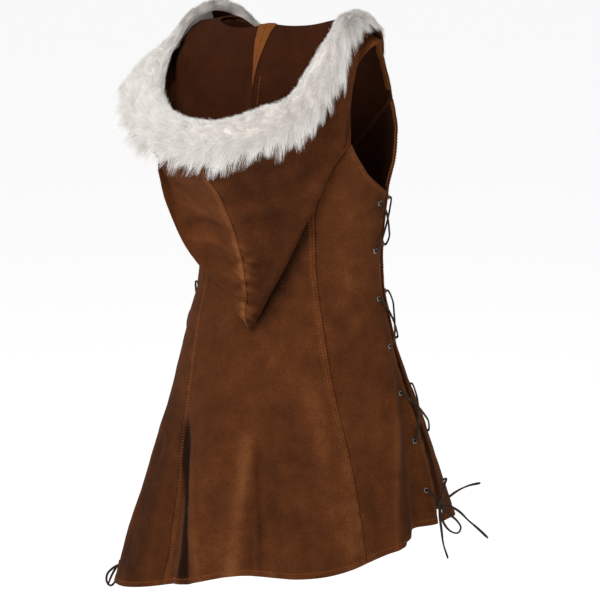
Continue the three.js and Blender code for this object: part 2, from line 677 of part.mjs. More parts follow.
// One half of a side's lace, from the middle of the top bar to the knot
function strand(side, start) {
  const pairs = sites[side];
  const other = { back: 'front', front: 'back' };
  let part = start;
  const bar = pairs[0].back.at.clone().add(pairs[0].front.at).multiplyScalar(0.5)
    .addScaledVector(pairs[0].back.out, LACE_IN);
  const first = pairs[0][part].at.clone().addScaledVector(pairs[0][part].out, LACE_IN);
  const points = [bar.clone().lerp(first, 0.02), bar.clone().lerp(first, 0.75)];
  for (let row = 0; row < pairs.length; row += 1) {
    const outwards = row % 2 === 0;
    points.push(...through(pairs[row][part], outwards));
    if (row + 1 === pairs.length) break;
    const next = outwards ? other[part] : part;
    if (outwards) {
      const height = start === 'back' ? CROSSING_OVER : CROSSING_UNDER;
      points.push(...between(pairs[row][part], pairs[row + 1][next], LACE_OUT, height));
    } else {
      points.push(...between(pairs[row][part], pairs[row + 1][part], LACE_IN, LACE_IN_MIDDLE));
    }
    part = next;
  }
  const knot = V(...KNOTS[side]);
  const last = pairs[pairs.length - 1][part];
  const end = last.at.clone().addScaledVector(last.out, LACE_OUT + 2 * LACE_RADIUS);
  points.push(end);
  const towards = knot.clone().sub(end);
  const reach = towards.length() - KNOT_RADIUS - SEAM_GAP;
  const arrival = end.clone().addScaledVector(towards.normalize(), reach);
  if (reach > EYELET_PITCH.right / 2) {
    points.push(...run(end, arrival, [positive(last.theta), angleOf(knot)], 0, LACE_OUT));
  }
  points.push(arrival);
  return sweep(points, LACE_RADIUS);
}

const KNOT_RADIUS = 6.5;
const KNOT_GAP = 0.15;
const KNOTS = { right: [-241, 8, -684], left: [270, 38, -850] };
for (const side of ['right', 'left']) {
  add(`lace_${side}_a`, strand(side, 'back'), MATERIALS.thong);
  add(`lace_${side}_b`, strand(side, 'front'), MATERIALS.thong);
  const knot = new THREE.SphereGeometry(KNOT_RADIUS, 8, 6);
  knot.translate(...KNOTS[side]);
  add(`knot_${side}`, knot, MATERIALS.thong);
}

// Free ends and loops of the two bows: the direction each leaves its knot in, its points, and
// for a loop the side of the knot that it comes back to
const BOW_ROUTES = {
  lace_right_end_1: { leave: [-0.75, -0.35, 0.55], points: [[-253, 0, -672], [-265, -6, -662],
    [-278, -12, -655], [-293, -19, -651]] },
  lace_right_end_2: { leave: [-0.93, -0.35, -0.1], points: [[-256, 0, -687], [-267, -5, -694],
    [-279, -10, -707], [-292, -15, -719], [-306, -20, -733]] },
  lace_right_end_3: { leave: [0, -0.15, -1], points: [[-242, 7, -703], [-245, 8, -720],
    [-248, 7, -742], [-254, 3, -765]] },
  lace_right_loop: { leave: [-0.8, 0.2, -0.56], points: [[-258, 8, -696], [-268, 5, -705],
    [-273, 3, -715], [-269, 5, -723], [-260, 10, -720], [-251, 13, -709]],
  arrive: [-0.35, 0.5, -0.79] },
  lace_left_loop: { leave: [0.6, 0.65, -0.45], points: [[281, 48, -858], [286, 55, -866],
    [284, 60, -876], [277, 60, -881], [271, 55, -873]], arrive: [0.05, 0.8, -0.6] },
  lace_left_end: { leave: [0.75, -0.1, -0.65], points: [[280, 38, -860], [286, 41, -872],
    [291, 46, -888]] },
};

function freeEnd(points) {
  const curve = new THREE.CatmullRomCurve3(points.map((p) => V(...p)));
  const shape = new THREE.Shape();
  for (let k = 0; k < 8; k += 1) {
    const a = (2 * Math.PI * k) / 8;
    const move = k === 0 ? 'moveTo' : 'lineTo';
    shape[move](LACE_RADIUS * Math.cos(a), LACE_RADIUS * Math.sin(a));
  }
  const steps = Math.round(curve.getLength() / (5 * LACE_RADIUS));
  return new THREE.ExtrudeGeometry(shape, { extrudePath: curve, steps, bevelEnabled: false });
}

for (const [name, { leave, points, arrive }] of Object.entries(BOW_ROUTES)) {
  const knot = V(...KNOTS[name.split('_')[1]]);
  const onKnot = (direction) => knot.clone()
    .addScaledVector(V(...direction).normalize(), KNOT_RADIUS + KNOT_GAP).toArray();
  const back = arrive ? [onKnot(arrive)] : [];
  add(name, freeEnd([onKnot(leave), ...points, ...back]), MATERIALS.thong);
}

// ---------------------------------------------------------------- turned-in armhole hems
const HEM_STRIP_WALL = 1.2;
const STRAP_HEM_WIDTH = 11;
const SIDE_HEM_WIDTH = 8;
const STRIP_LIFT = 0.4;
const INSIDE = V(0, 0, -120);

// A strip that lies inside a wall: two or three lines of its inner face, moved further in
function strip(lines, facing, lift) {
  const normals = gridNormals(lines);
  if (facing.clone().sub(lines[0][1]).dot(normals[0][1]) < 0) {
    normals.flat().forEach((n) => n.negate());
  }
  const moved = (depth) => lines.map((line, i) => line.map((p, j) => (
    p.clone().addScaledVector(normals[i][j], depth))));
  return wall(moved(lift), moved(lift + HEM_STRIP_WALL));
}

const share = (lines, from, to, t) => lines[from].map((p, j) => p.clone().lerp(lines[to][j], t));

// The strap's armhole edge: the panel's first or last columns above the side panel
function strapHem(panel, edge, next) {
  const lines = [edge, next].map((c) => panel.inner[c].slice(LOWER_ROWS + 1));
  const t = STRAP_HEM_WIDTH / lines[0][3].distanceTo(lines[1][3]);
  return strip([share(lines, 0, 1, 0.04), share(lines, 0, 1, t)], INSIDE, STRIP_LIFT);
}

// The side panel's top edge
function sideHem(panel) {
  const top = panel.inner.map((line) => line[LOWER_ROWS]);
  const below = panel.inner.map((line) => line[LOWER_ROWS - 1]);
  const t = SIDE_HEM_WIDTH / top[4].distanceTo(below[4]);
  const lines = [top, below].map((line) => line.slice(1, line.length - 1));
  return strip([share(lines, 0, 1, 0.03), share(lines, 0, 1, t)], INSIDE, 2 * STRIP_LIFT);
}

// ---------------------------------------------------------------- hood
const HOOD_ROWS_BELOW_BROW = 4;
const UNDER_ROWS = [0.12, 0.26, 0.42, 0.6, 0.77, 0.91];   // shares of the way from fold to neck

// Moves a point out of the body until it is at least lift away from its outer face
function clearOfBody(p, most) {
  const s = (p.x - section(p.z, 'middle')) / -section(p.z, 'halfWidth');
  if (Math.abs(s) > SIDE_SHARE && p.z < shoulderZ(p.x) - SIDE_DROP) return clearOfSide(p, most);
  if (Math.abs(s) > 0.999) return p;
  const lift = most * clamp((1 - Math.abs(s)) / SIDE_FADE, 0, 1);
  const depth = section(p.z, p.y > 0 ? 'back' : 'front') * Math.sqrt(1 - s * s);
  if (p.z < UNDERARM_Z) {
    const least = depth + lift;
    return V(p.x, Math.sign(p.y) * Math.max(Math.abs(p.y), least), p.z);
  }
  const height = shoulderZ(p.x) - UNDERARM_Z;
  const tau = (p.z - UNDERARM_Z) / height;
  const reach = ((Math.abs(p.y) / (depth + lift)) ** SHOULDER_POWER
    + (tau * height / (height + lift)) ** SHOULDER_POWER) ** (1 / SHOULDER_POWER);
  const grow = Math.max(1, 1 / reach);
  return V(p.x, p.y * grow, UNDERARM_Z + (p.z - UNDERARM_Z) * grow);
}

// The same, sideways, for points beside the body and below the shoulder's end
function clearOfSide(p, lift) {
  const share = p.y / (section(p.z, p.y > 0 ? 'back' : 'front') + lift);
  const reach = (section(p.z, 'halfWidth') + lift) * Math.sqrt(Math.max(0, 1 - share * share));
  const side = Math.sign(p.x);
  const middle = section(p.z, 'middle');
  return V(side * Math.max(side * p.x, reach + side * middle), p.y, p.z);
}

function neckPoint(theta) {
  const phi = neckPhi(theta);
  return upper(theta, phi).addScaledVector(upperNormal(theta, phi), 1.2).add(V(0, 0, 2.5));
}

// The under layer's height above the body: more over the shoulders, most over their ends
const underLift = (p) => HOOD_LIFT
  + HOOD_SHOULDER_LIFT * smoothstep(clamp((p.z + 150) / 120, 0, 1))
  + SHOULDER_END_LIFT * Math.exp(-(((Math.abs(p.x) - 146) / 14) ** 2));

// Points of the hood's outer face at one station, from the face edge to the neck
function hoodColumn(station) {
  const face = clearOfBody(V(...station.face), station.rise);
  const brow = clearOfBody(V(...station.brow), Math.min(BROW_LIFT, station.rise));
  const fold = V(...station.fold);
  const outwards = brow.clone().sub(V(brow.x * 0.25, 0, brow.z)).normalize();
  const browLift = Math.min(BROW_LIFT, station.rise);
  const middle = clearOfBody(face.clone().lerp(brow, 0.5), (station.rise + browLift) / 2);
  const column = [face, middle, brow];
  const lip = clearOfBody(fold.clone().addScaledVector(outwards, 4), HOOD_LIFT + 7);
  for (let k = 1; k <= HOOD_ROWS_BELOW_BROW; k += 1) {
    const t = k / (HOOD_ROWS_BELOW_BROW + 1);
    const p = brow.clone().lerp(lip, t);
    p.addScaledVector(outwards, 4 * t * (1 - t) * station.sag);
    column.push(clearOfBody(p, HOOD_LIFT + 9));
  }
  const foldIn = clearOfBody(fold.clone().add(V(0, 0, 2)), underLift(fold));
  const neck = clearOfBody(V(...station.neck), NECK_LIFT);
  column.push(lip);
  column.push(clearOfBody(fold.clone().add(V(0, 0, -3)), HOOD_LIFT + 3));
  column.push(foldIn);
  for (const t of UNDER_ROWS) {
    const p = foldIn.clone().lerp(neck, t);
    column.push(clearOfBody(p, lerp(underLift(p), NECK_LIFT, Math.max(0, t * 2 - 1))));
  }
  column.push(neck);
  return column;
}

// Stations halfway between the rows of the table, on smooth curves through them
function denser(stations) {
  const curve = (key) => new THREE.CatmullRomCurve3(stations.map((s) => V(...s[key])));
  const curves = { face: curve('face'), brow: curve('brow'), fold: curve('fold') };
  curves.neck = new THREE.CatmullRomCurve3(stations.map((s) => neckPoint(s.neck)));
  const count = stations.length - 1;
  const dense = [];
  for (let k = 0; k <= 2 * count; k += 1) {
    const low = stations[Math.floor(k / 2)];
    const high = stations[Math.min(count, Math.ceil(k / 2))];
    const point = (key) => curves[key].getPoint(k / (2 * count)).toArray();
    dense.push({
      face: point('face'),
      brow: point('brow'),
      fold: point('fold'),
      neck: point('neck'),
      sag: (low.sag + high.sag) / 2,
      rise: (low.rise + high.rise) / 2,
      puff: (low.puff + high.puff) / 2,
    });
  }
  return dense;
}

const stations = denser(HOOD_STATIONS);
const hoodColumns = stations.map(hoodColumn);

// Outward directions on a grid of points
function gridNormals(grid) {
  const at = (i, j) => grid[clamp(i, 0, grid.length - 1)][clamp(j, 0, grid[0].length - 1)];
  return grid.map((line, i) => line.map((p, j) => {
    const along = at(i + 1, j).clone().sub(at(i - 1, j));
    const down = at(i, j + 1).clone().sub(at(i, j - 1));
    return along.cross(down).normalize();
  }));
}

const hoodNormals = gridNormals(hoodColumns);
const browCheck = hoodNormals[2 * HOOD_SEAM_STATION][3];
if (browCheck.y < 0) hoodNormals.flat().forEach((n) => n.negate());

function hoodHalf(from, to) {
  const outer = hoodColumns.slice(from, to + 1).map((line) => line.map((p) => p.clone()));
  const inner = outer.map((line, i) => line.map((p, j) => (
    p.clone().addScaledVector(hoodNormals[from + i][j], -HOOD_LEATHER))));
  const seamColumn = from === 0 ? outer.length - 1 : 0;
  const away = from === 0 ? -SEAM_GAP / 2 : SEAM_GAP / 2;
  outer[seamColumn].forEach((p) => p.setX(p.x + away));
  inner[seamColumn].forEach((p) => p.setX(p.x + away));
  return wall(outer, inner);
}

const seamIndex = 2 * HOOD_SEAM_STATION;
add('hood_right', hoodHalf(0, seamIndex), MATERIALS.leather);
add('hood_left', hoodHalf(seamIndex, stations.length - 1), MATERIALS.leather);

// The centre seam's two allowances, opened flat on the hood's lining side at the nape
const NAPE_WIDTH = 13;
const NAPE_LIFT = 1.3;          // clear of the facets of the hood's curved wall
const NAPE_TAPER = [0.3, 0.7, 1, 1];
function allowance(name, column, next) {
  const rows = hoodInner[column].length;
  const lines = [column, next].map((c) => hoodInner[c].slice(rows - 4, rows));
  const t = NAPE_WIDTH / lines[0][2].distanceTo(lines[1][2]);
  const wide = lines[0].map((p, j) => p.clone().lerp(lines[1][j], t * NAPE_TAPER[j]));
  const near = share(lines, 0, 1, 0.02);
  add(name, strip([near, wide], V(0, 300, 0), NAPE_LIFT), MATERIALS.turnedLeather);
}
const hoodInner = hoodColumns.map((line, i) => line.map((p, j) => (
  p.clone().addScaledVector(hoodNormals[i][j], -HOOD_LEATHER))));
allowance('nape_allowance_right', seamIndex, seamIndex - 1);
allowance('nape_allowance_left', seamIndex, seamIndex + 1);

add('armhole_hem_right_strap', strapHem(panels.centre_front, 0, 1), MATERIALS.turnedLeather);
add('armhole_hem_left_strap',
  strapHem(panels.centre_front, CENTRE_COLUMNS, CENTRE_COLUMNS - 1), MATERIALS.turnedLeather);
add('armhole_hem_right_side', sideHem(panels.side_front_right), MATERIALS.turnedLeather);
add('armhole_hem_left_side', sideHem(panels.side_front_left), MATERIALS.turnedLeather);

// ---------------------------------------------------------------- fur strip
const FUR_LENGTH = 54;          // of the section's part that lies on the leather

// Along the leather from the face edge over its middle point to the brow, and out of it
function onBand(k, w, n) {
  const band = hoodColumns[k];
  const t = (2 * w) / FUR_LENGTH;
  const i = t < 1 ? 0 : 1;
  const step = band[i + 1].clone().sub(band[i]);
  const local = t - i;
  const beyond = local < 0 || local > 1;
  const at = band[i].clone().addScaledVector(step, clamp(local, 0, 1));
  if (beyond) {
    const over = (local < 0 ? local : local - 1) * (FUR_LENGTH / 2);
    at.addScaledVector(step.clone().normalize(), over);
  }
  const out = hoodNormals[k][i].clone().lerp(hoodNormals[k][i + 1], clamp(local, 0, 1)).normalize();
  return at.addScaledVector(out, n);
}

function furRing(k) {
  return FUR_SECTION.map(([w, n]) => onBand(k, w, Math.abs(n) > 4 ? n * stations[k].puff : n));
}
add('fur_trim', loft(hoodColumns.map((_, k) => furRing(k))), MATERIALS.fur);

export default tunic;
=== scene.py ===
"""Looks of the hooded tunic: suede panels, laced sides, hanging hood and fur edge.

Shapes are worked out in millimetres in the frame's axes: +Z up, the front faces -Y and the
wearer's right is -X. An angle theta is in degrees from the centre back towards the wearer's
right. Meshes are made in metres.
"""

import math

import bpy
import numpy as np
from mathutils import Matrix


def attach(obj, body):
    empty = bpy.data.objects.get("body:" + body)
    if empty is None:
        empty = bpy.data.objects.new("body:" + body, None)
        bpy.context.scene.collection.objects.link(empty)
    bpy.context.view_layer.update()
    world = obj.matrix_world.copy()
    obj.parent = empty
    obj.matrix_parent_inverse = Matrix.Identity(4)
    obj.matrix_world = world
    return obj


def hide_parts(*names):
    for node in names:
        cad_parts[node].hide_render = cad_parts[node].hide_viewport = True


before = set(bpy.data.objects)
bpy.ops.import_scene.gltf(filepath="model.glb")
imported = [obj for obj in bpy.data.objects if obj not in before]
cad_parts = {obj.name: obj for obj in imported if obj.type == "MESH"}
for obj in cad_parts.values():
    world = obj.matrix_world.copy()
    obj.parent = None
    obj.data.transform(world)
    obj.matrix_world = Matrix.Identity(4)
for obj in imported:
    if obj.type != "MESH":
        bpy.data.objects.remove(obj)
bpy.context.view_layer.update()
rng = np.random.default_rng(20)
MM = 0.001

# ---------------------------------------------------------------- the part's own dimensions
LEATHER = 1.6
HOOD_LEATHER = 1.8
SEAM_GAP = 0.3
SEAM_HALF_TURN = 0.0486
UNDERARM_Z = -230
NECK_HALF_WIDTH = 80
SHOULDER_SLOPE = 0.42
NECK_RISE = 0.25
SHOULDER_POWER = 2.6
HEM_Z = -780
FLUTE_FULL_Z = -740
BACK_NECK_DEPTH = 62
FRONT_NECK_DEPTH = 86
BACK_TOP, FRONT_TOP, EDGE_TOP = -157, -111, -236

# height, half width, depth to the back, depth to the front, middle
SECTIONS = [
    [-880, 274, 236, 230, -4], [-740, 238, 198, 193, -6], [-680, 221, 180, 176, -6],
    [-580, 192, 150, 147, -4], [-480, 164, 120, 119, 0], [-430, 152, 109, 109, 0],
    [-380, 142, 100, 101, 0], [-325, 139, 96, 98, 0], [-280, 142, 99, 104, 0],
    [-230, 148, 106, 114, 0], [-170, 158, 112, 120, 1], [-110, 159, 113, 115, 2],
    [-40, 154, 108, 106, 3], [40, 150, 100, 100, 4],
]
HEM = [[-180, -778], [-150, -818], [-120, -850], [-88, -864], [-65, -856], [-41, -827],
       [-17, -787], [0, -766], [25, -757], [42, -744], [60, -727], [81, -716], [95, -717],
       [120, -728], [150, -750], [180, -778]]
# where a flute starts and is full (degrees), width (degrees), depth, height it starts at
FLUTES = [
    (-44, -37, 12, -34, -480), (-16, -15, 9, 12, -440), (6, 6, 13, -8, -480),
    (36, 36, 12, 9, -400), (84, 62, 8, 8, -400), (94, 77, 7, -24, -430),
    (108, 108, 9, 12, -450), (126, 126, 9, -20, -460), (148, 148, 12, 12, -430),
    (176, 176, 12, -16, -480), (204, 204, 12, 12, -420), (226, 226, 9, -20, -450),
    (244, 244, 8, 12, -460), (-68, -68, 9, 8, -450),
]
BACK_SEAM_RIGHT = [[-880, 49], [-725, 47.8], [-656, 47.1], [-607, 45.9], [-507, 41.6],
                   [-443, 39.1], [-374, 36.2], [-335, 34.3], [-301, 33.9], [-248, 33.9],
                   [-189, 43.5], [-157, 52.6]]
BACK_SEAM_LEFT = [[-880, -41], [-680, -42], [-611, -44], [-501, -45], [-419, -49],
                  [-335, -46], [-248, -44], [-189, -49], [-157, -56]]
FRONT_SEAM = [[-880, 148], [-740, 148], [-500, 154], [-380, 158], [-300, 160],
              [-230, 160], [-196, 158.5], [-167, 148.5], [-141, 137.5], [-111, 121]]
LACED_EDGE_BACK = [[-880, 90], [-720, 90], [-667, 95], [-602, 98], [-532, 98],
                   [-467, 97], [-395, 95], [-325, 93.5], [-236, 93]]
LACED_EDGE_FRONT = [[-880, 95], [-720, 96], [-667, 101], [-602, 104], [-532, 104],
                    [-467, 103], [-395, 101], [-325, 99], [-236, 97]]
LEFT_TURN = 5
BACK_ARMHOLE = [[-157, 52.6], [-171, 56.2], [-189, 61.9], [-206, 68.8], [-220, 78.2],
                [-236, 93]]
FRONT_ARMHOLE = [[-111, 121], [-135, 116], [-153, 107], [-180, 102], [-222, 98.5],
                 [-236, 97]]
LEFT_BACK_ARMHOLE = [[-157, -56], [-171, -59], [-189, -63.5], [-206, -69], [-220, -77],
                     [-236, -88]]
BACK_STRAP = [[0, 54], [0.25, 53], [0.5, 56], [0.75, 64], [1, 72]]
FRONT_STRAP = [[0, 121], [0.3, 124], [0.6, 121], [0.8, 115], [1, 108]]
NECK_THETA_RIGHT = 34
NECK_THETA_LEFT = -41

EYELET_PITCH = {"right": 69.5, "left": 72.5}
EYELET_TOP_Z = -250
EYELET_INSET = 17
EYELET_ROWS = {"right": 7, "left": 9}
EYELET_BORE = 2.3

KNOTS = {"right": (-241, 8, -684), "left": (270, 38, -850)}
KNOT_RADIUS = 6.5
KNOT_GAP = 0.15
# direction it leaves its knot in, points, and for a loop the side of the knot it comes back to
BOW_ROUTES = {
    "lace_right_end_1": ((-0.75, -0.35, 0.55), [(-253, 0, -672), (-265, -6, -662),
                         (-278, -12, -655), (-293, -19, -651)], None),
    "lace_right_end_2": ((-0.93, -0.35, -0.1), [(-256, 0, -687), (-267, -5, -694),
                         (-279, -10, -707), (-292, -15, -719), (-306, -20, -733)], None),
    "lace_right_end_3": ((0, -0.15, -1), [(-242, 7, -703), (-245, 8, -720),
                         (-248, 7, -742), (-254, 3, -765)], None),
    "lace_right_loop": ((-0.8, 0.2, -0.56), [(-258, 8, -696), (-268, 5, -705),
                        (-273, 3, -715), (-269, 5, -723), (-260, 10, -720),
                        (-251, 13, -709)], (-0.35, 0.5, -0.79)),
    "lace_left_loop": ((0.6, 0.65, -0.45), [(281, 48, -858), (286, 55, -866),
                       (284, 60, -876), (277, 60, -881), (271, 55, -873)],
                       (0.05, 0.8, -0.6)),
    "lace_left_end": ((0.75, -0.1, -0.65), [(280, 38, -860), (286, 41, -872),
                      (291, 46, -888)], None),
}

# face edge, brow, fold, sag, neck angle, rise, puff: one row for each station
HOOD_STATIONS = [
    [(-10, -104, -88), (-14, -116, -132), (-14, -114, -144), 0, 176, 19, 0.6],
    [(-52, -94, -62), (-62, -110, -104), (-64, -104, -118), 0, 164, 19, 0.6],
    [(-80, -64, -30), (-96, -80, -64), (-103, -70, -82), 0, 154, 18, 0.55],
    [(-96, -28, -14), (-112, -36, -38), (-121, -30, -54), 0, 149, 17, 0.45],
    [(-98, 0, -6), (-114, 2, -30), (-122, 2, -44), 0, 144, 16, 0.4],
    [(-94, 34, -8), (-110, 38, -40), (-124, 28, -66), 0, 34, 17, 0.45],
    [(-92, 72, -22), (-108, 76, -64), (-124, 50, -112), 0, 32, 20, 0.7],
    [(-80, 110, -62), (-96, 112, -104), (-118, 78, -160), -3, 26, 26, 1],
    [(-65, 138, -95), (-78, 144, -130), (-86, 94, -234), -8, 20, 26, 1],
    [(-32, 162, -109), (-48, 174, -148), (-48, 99, -316), -20, 12, 26, 1],
    [(0, 176, -122), (-4, 199, -162), (-16, 109, -380), -28, 6, 26, 1],
    [(40, 178, -129), (36, 203, -170), (6, 114, -417), -30, 0, 26, 1],
    [(84, 170, -127), (92, 195, -168), (48, 106, -376), -24, -8, 26, 1],
    [(122, 148, -116), (146, 166, -158), (94, 110, -328), -18, -16, 26, 1],
    [(152, 112, -98), (192, 128, -132), (130, 118, -228), -22, -24, 26, 1],
    [(168, 70, -68), (214, 84, -98), (150, 88, -150), -20, -32, 26, 1],
    [(162, 38, -36), (201, 33, -70), (156, 42, -98), -12, -38, 28, 0.5],
    [(131, -2, -27), (168, -6, -60), (150, 2, -84), 0, -41, 28, 0.7],
    [(114, -40, -24), (142, -54, -58), (140, -48, -88), 0, 212, 28, 0.65],
    [(84, -76, -52), (100, -98, -88), (97, -92, -116), 0, 203, 18, 0.6],
    [(46, -98, -74), (52, -114, -118), (52, -108, -130), 0, 193, 19, 0.6],
    [(10, -104, -88), (14, -116, -132), (14, -114, -144), 0, 184, 19, 0.6],
]
HOOD_SEAM_STATION = 11
NECK_LIFT = 4
HOOD_LIFT = 6
FOLD_LIFT, LIP_LIFT, LAYER_LIFT = HOOD_LIFT + 3, HOOD_LIFT + 7, HOOD_LIFT + 9
LIP_OVERHANG = 4
HOOD_SHOULDER_LIFT = 4.5
SHOULDER_END_LIFT = 2
SIDE_SHARE = 0.88
SIDE_DROP = 25
SIDE_FADE = 0.04
BROW_LIFT = 15
HOOD_ROWS_BELOW_BROW = 4
UNDER_ROWS = [0.12, 0.26, 0.42, 0.6, 0.77, 0.91]

FUR_SECTION = [
    (54, 1.2), (57, 5), (50, 14), (36, 22), (18, 24), (0, 19), (-11, 9), (-13, -2),
    (-5, -10), (5, -9),
]
FUR_LENGTH = 54


# ---------------------------------------------------------------- small helpers
def unit(v):
    v = np.asarray(v, float)
    return v / np.maximum(np.linalg.norm(v, axis=-1, keepdims=True), 1e-9)


def lerp(a, b, t):
    return a + (b - a) * t


def smooth(t):
    t = np.clip(t, 0, 1)
    return t * t * (3 - 2 * t)


def bell(x, width):
    return np.exp(-(x / width) ** 2)


def hermite(t, a, b, h, slope_a, slope_b):
    """A cubic from a to b over a step h, with the slopes of its two ends."""
    return ((2 * t**3 - 3 * t**2 + 1) * a + (t**3 - 2 * t**2 + t) * h * slope_a
            + (3 * t**2 - 2 * t**3) * b + (t**3 - t**2) * h * slope_b)


def curve(rows, column=1):
    """Smooth curve through a table whose first column is the place along it."""
    rows = sorted(rows)
    x = np.array([r[0] for r in rows], float)
    y = np.array([r[column] for r in rows], float)
    slope = np.diff(y) / np.diff(x)
    m = np.concatenate([slope[:1], (slope[:-1] + slope[1:]) / 2, slope[-1:]])

    def at(q):
        q = np.clip(q, x[0], x[-1])
        i = np.clip(np.searchsorted(x, q, side="right") - 1, 0, len(x) - 2)
        h = x[i + 1] - x[i]
        return hermite((q - x[i]) / h, y[i], y[i + 1], h, m[i], m[i + 1])

    return at


HALF_WIDTH, BACK, FRONT, MIDDLE = (curve(SECTIONS, k) for k in (1, 2, 3, 4))
hem_curve = curve(HEM)


def hem_z(theta):
    return hem_curve((np.asarray(theta, float) + 540) % 360 - 180)


def catmull(points, places):
    """A centripetal Catmull-Rom curve through points, at places from 0 to 1."""
    p = np.asarray(points, float)
    last = len(p) - 1
    padded = np.vstack([2 * p[0] - p[1], p, 2 * p[-1] - p[-2]])
    out = []
    for place in places:
        at = place * last
        i = min(int(at), last - 1)
        w = at - i
        p0, p1, p2, p3 = padded[i:i + 4]
        d0, d1, d2 = (max(np.linalg.norm(b - a), 1e-6) ** 0.5
                      for a, b in ((p0, p1), (p1, p2), (p2, p3)))
        t1 = ((p1 - p0) / d0 - (p2 - p0) / (d0 + d1) + (p2 - p1) / d1) * d1
        t2 = ((p2 - p1) / d1 - (p3 - p1) / (d1 + d2) + (p3 - p2) / d2) * d1
        out.append(p1 + w * t1 + w**2 * (-3 * p1 + 3 * p2 - 2 * t1 - t2)
                   + w**3 * (2 * p1 - 2 * p2 + t1 + t2))
    return np.array(out)


def arc(points):
    """Distance along a line of points from its start."""
    steps = np.linalg.norm(np.diff(points, axis=0), axis=-1)
    return np.concatenate([[0], np.cumsum(steps)])


def full_turn(count):
    return np.linspace(0, 2 * math.pi, count, endpoint=False)


def posed(right, up, back, at):
    return Matrix([[*(float(v[k]) for v in (right, up, back)), float(at[k])]
                   for k in range(3)] + [[0, 0, 0, 1]])


def face_list(corners):
    """Faces as tuples, from arrays of their four corners."""
    return [tuple(f) for f in np.stack(corners, -1).reshape(-1, 4)]


def evenly(points, count):
    along = arc(points)
    at = np.linspace(0, along[-1], count)
    return np.stack([np.interp(at, along, points[:, k]) for k in range(3)], -1)


# ---------------------------------------------------------------- camera
CAMERA_AZIMUTH, CAMERA_ELEVATION = 206.0, 15.0
CAMERA_DISTANCE = 3300.0
CAMERA_TARGET = np.array([0, 0, -410.0])
CAMERA_LENS = 136.56
CAMERA_SHIFT = 0.0158
a, e = math.radians(CAMERA_AZIMUTH), math.radians(CAMERA_ELEVATION)
view_back = np.array([math.sin(a) * math.cos(e), -math.cos(a) * math.cos(e), math.sin(e)])
view_right = unit(np.cross([0, 0, 1], view_back))
view_up = np.cross(view_back, view_right)
camera_data = bpy.data.cameras.new("camera")
camera_data.sensor_width = 36
camera_data.lens = CAMERA_LENS
camera_data.shift_x = CAMERA_SHIFT
camera = bpy.data.objects.new("camera", camera_data)
camera.matrix_world = posed(view_right, view_up, view_back,
                            (CAMERA_TARGET + view_back * CAMERA_DISTANCE) * MM)
bpy.context.scene.collection.objects.link(camera)
bpy.context.scene.camera = camera


# ---------------------------------------------------------------- materials
def new_material(name):
    material = bpy.data.materials.new(name)
    material.use_nodes = True
    tree = material.node_tree
    shader = tree.nodes["Principled BSDF"]
    return material, tree, shader


def node(tree, kind, **inputs):
    made = tree.nodes.new(kind)
    for key, value in inputs.items():
        made.inputs[key.replace("_", " ")].default_value = value
    return made


def noise(tree, scale, detail=4.0, rough=0.55):
    made = node(tree, "ShaderNodeTexNoise", Scale=scale, Detail=detail, Roughness=rough)
    coords = tree.nodes.get("coords") or tree.nodes.new("ShaderNodeTexCoord")
    coords.name = "coords"
    tree.links.new(coords.outputs["Object"], made.inputs["Vector"])
    return made.outputs["Fac"]


def math_node(tree, operation, a, b):
    made = tree.nodes.new("ShaderNodeMath")
    made.operation = operation
    for socket, value in zip(made.inputs, (a, b)):
        if isinstance(value, (int, float)):
            socket.default_value = value
        else:
            tree.links.new(value, socket)
    return made.outputs[0]


def linear(rgb):
    """Linear colour from 8-bit sRGB."""
    c = np.array(rgb) / 255
    return tuple(np.where(c <= 0.04045, c / 12.92, ((c + 0.055) / 1.055) ** 2.4)) + (1.0,)


def ramp(tree, factor, stops):
    made = tree.nodes.new("ShaderNodeValToRGB")
    elements = made.color_ramp.elements
    while len(elements) < len(stops):
        elements.new(0.5)
    for element, (position, rgb) in zip(elements, stops):
        element.position = position
        element.color = linear(rgb)
    tree.links.new(factor, made.inputs["Fac"])
    return made.outputs["Color"]


def bump(tree, shader, layers):
    """layers: height output, distance in metres."""
    last = None
    for height, distance in layers:
        made = node(tree, "ShaderNodeBump", Strength=1.0, Distance=distance)
        tree.links.new(height, made.inputs["Height"])
        if last is not None:
            tree.links.new(last, made.inputs["Normal"])
        last = made.outputs["Normal"]
    tree.links.new(last, shader.inputs["Normal"])


# large, middle and small patches of colour: noise scale, detail and roughness, and amount
PATCHES = [(9, 4, 0.55, 0.42), (45, 5, 0.6, 0.34), (420, 3, 0.6, 0.42)]


def suede(name, stops, rough=0.9, sheen=0.05, tint=(0.6, 0.33, 0.17, 1), grain=1.0):
    """A leather or thread whose colour runs along stops with its patches and its "tone"."""
    material, tree, shader = new_material(name)
    # the "tone" attribute adds the leather's own lighter and darker parts, and on the panels and
    # hood painted highlights and painted shade too
    tone = tree.nodes.new("ShaderNodeAttribute")
    tone.attribute_name = "tone"
    total = None
    for scale, detail, roughness, amount in PATCHES:
        patch = math_node(tree, "SUBTRACT", noise(tree, scale, detail, roughness), 0.5)
        patch = math_node(tree, "MULTIPLY", patch, amount)
        total = patch if total is None else math_node(tree, "ADD", total, patch)
    total = math_node(tree, "ADD", total, tone.outputs["Fac"])
    tree.links.new(ramp(tree, total, stops), shader.inputs["Base Color"])
    shader.inputs["Roughness"].default_value = rough
    shader.inputs["Specular IOR Level"].default_value = 0.06
    shader.inputs["Sheen Weight"].default_value = sheen
    shader.inputs["Sheen Roughness"].default_value = 0.45
    shader.inputs["Sheen Tint"].default_value = tint
    bump(tree, shader, [(noise(tree, 60, 4, 0.6), 0.0016 * grain),
                        (noise(tree, 700, 4, 0.65), 0.0004 * grain)])
    return material


